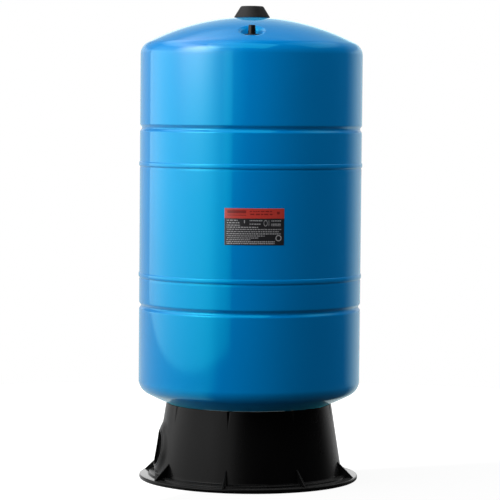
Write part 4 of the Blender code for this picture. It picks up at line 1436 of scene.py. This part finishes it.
world = bpy.data.worlds.new("studio")
scene.world = world
world.use_nodes = True
tree = world.node_tree
tree.nodes.clear()
output = tree.nodes.new("ShaderNodeOutputWorld")
sky = tree.nodes.new("ShaderNodeBackground")
tune(sky, {"Color": (1.0, 1.0, 1.0, 1.0)})
direction = tree.nodes.new("ShaderNodeTexCoord")
side, to = lit_side(tree, direction.outputs["Generated"])
behind = join(tree, "MULTIPLY", side, levels(tree, to["Z"], behind_by_height))
wing = join(tree, "MAXIMUM", ramp(tree, to["X"], *wing_left), ramp(tree, to["X"], *wing_right))
wing = join(tree, "MULTIPLY", wing, ramp(tree, to["Y"], *wing_back), levels(tree, to["Z"], wing_by_height))
patch = join(tree, "MULTIPLY", ramp(tree, to["X"], *patch_right), ramp(tree, to["X"], *patch_left),
             ramp(tree, to["Y"], *patch_front), ramp(tree, to["Z"], *patch_foot))
narrow = join(tree, "MULTIPLY", ramp(tree, to["X"], *strip_left), ramp(tree, to["X"], *strip_right),
              ramp(tree, to["Y"], *strip_back))
strip = join(tree, "MULTIPLY", levels(tree, to["Z"], strip_by_height), narrow)
mirrored = join(tree, "ADD", join(tree, "MAXIMUM", behind, wing, patch), strip)
mirrored = join(tree, "MAXIMUM", mirrored, dimmest)
print("mirrored room is drawn by", len(tree.nodes), "nodes")

# %% [markdown]
# The light that falls on things from the world is soft and comes from above. It fills the
# shadows without drawing any. The camera sees plain white, as the photo's ground is. One Mix
# node picks between what is mirrored and what lights, by the kind of ray.

# %% What lights the tank, and the white ground
above = ramp(tree, to["Z"], 0.15, 0.80, 0.05, 0.70)
camera_ray, seen = seen_rays(tree)
room = tree.nodes.new("ShaderNodeMix")
room.data_type = "FLOAT"
tree.links.new(seen, room.inputs[0])
tree.links.new(above, room.inputs[2])
tree.links.new(mirrored, room.inputs[3])
tree.links.new(join(tree, "MAXIMUM", room.outputs[0], camera_ray), sky.inputs["Strength"])
tree.links.new(sky.outputs[0], output.inputs["Surface"])
print("world has", len(tree.nodes), "nodes")

# %% [markdown]
# A softbox is a lamp behind a panel of cloth. An area lamp is its model: a rectangle turned
# to the tank, whose power is given here as radiance, so its brightness in the paint stays the
# same when its size changes. A lamp that should light the tank but not show in the paint is
# kept out of glossy rays. A real panel is brighter in the middle, so one lamp can be given
# lines of strength across and up, and a round glow.

# %% Helpers for lamps
def softbox(name, turn_to, distance, height, size, radiance, aim, aside=0.0, in_reflections=True):
    """A rectangular lamp of even radiance, at an angle from the front and a distance from the axis.

    It faces the axis at the height aim, and stands aside by a step along its own width.
    """
    lamp = bpy.data.lights.new(name, "AREA")
    lamp.shape = "RECTANGLE"
    lamp.size, lamp.size_y = size
    lamp.energy = pi * size[0] * size[1] * radiance
    lamp.color = (1.0, 1.0, 0.99)
    holder = bpy.data.objects.new(name, lamp)
    scene.collection.objects.link(holder)
    place = Vector((distance * sin(turn_to), -distance * cos(turn_to), height))
    facing = (Vector((0, 0, aim)) - place).to_track_quat("-Z", "Y")
    holder.location = place + facing @ Vector((aside, 0, 0))
    holder.rotation_euler = facing.to_euler()
    holder.visible_camera = False
    holder.visible_glossy = in_reflections
    print("lamp", name, "of", round(lamp.energy, 2), "W")
    return lamp


def shade_softbox(lamp, across, upward, peak, spot, reach):
    """Give a lamp an uneven panel and a round glow, u across it and v up it.

    Strength = across(u) * upward(v) + peak * (1 - smoothstep(distance from the spot)).
    """
    lamp.use_nodes = True
    tree = lamp.node_tree
    panel = tree.nodes.new("ShaderNodeNewGeometry").outputs["Parametric"]
    at = parts_of(tree, panel)
    cloth = join(tree, "MULTIPLY", levels(tree, at["X"], across), levels(tree, at["Y"], upward))
    away = tree.nodes.new("ShaderNodeMapping")
    scale = (lamp.size / reach[0], lamp.size_y / reach[1], 0.0)
    tune(away, {"Scale": scale, "Location": (-spot[0] * scale[0], -spot[1] * scale[1], 0.0)})
    tree.links.new(panel, away.inputs["Vector"])
    distance = tree.nodes.new("ShaderNodeVectorMath")
    distance.operation = "LENGTH"
    tree.links.new(away.outputs["Vector"], distance.inputs[0])
    halo = ramp(tree, distance.outputs["Value"], 0.0, 1.0, peak, 0.0)
    tree.links.new(join(tree, "ADD", cloth, halo), tree.nodes["Emission"].inputs["Strength"])


# %% [markdown]
# One large softbox on the left is the key. It draws the tall bright bar on the wall, whose
# edges and slow fall towards the foot come from the stops below. Two lamps overhead light the
# dome, one seen in the paint and one not. One behind lights the dome's far side, a thin strip
# there shows as a faint line on it, and a fill on the right lifts the shaded flank unseen.

# %% Lamps
key_across = [(0.0, 0.50), (0.20, 0.58), (0.284, 0.70), (0.39, 0.77),
              (0.513, 0.80), (0.757, 0.85), (0.928, 0.66), (1.0, 0.28)]
key_upward = [(0.0, 0.62), (0.12, 0.98), (0.25, 1.0), (0.5, 0.42), (1.0, 0.025)]
key_peak, key_spot, key_reach = 2.5, (0.714, 0.50), (1.0, 1.3)
key = softbox("key_softbox", radians(-62), 1.6, 1.675, (4.75, 3.25), 2.28, 1.675, aside=-0.825)
shade_softbox(key, key_across, key_upward, key_peak, key_spot, key_reach)
softbox("overhead", radians(0), 0.9, 1.95, (1.5, 1.1), 1.1, 0.7, in_reflections=False)
softbox("overhead_glow", radians(-15), 0.9, 1.95, (1.5, 1.1), 1.2, 0.7)
softbox("rear_overhead", radians(180), 0.9, 2.1, (1.3, 0.5), 2.9, 0.78, in_reflections=False)
softbox("back_strip", radians(180), 1.0, 2.1, (0.70, 0.10), 0.08, 0.78)
softbox("right_fill", radians(118), 1.6, 0.9, (1.2, 1.6), 3.2, 0.9, in_reflections=False)
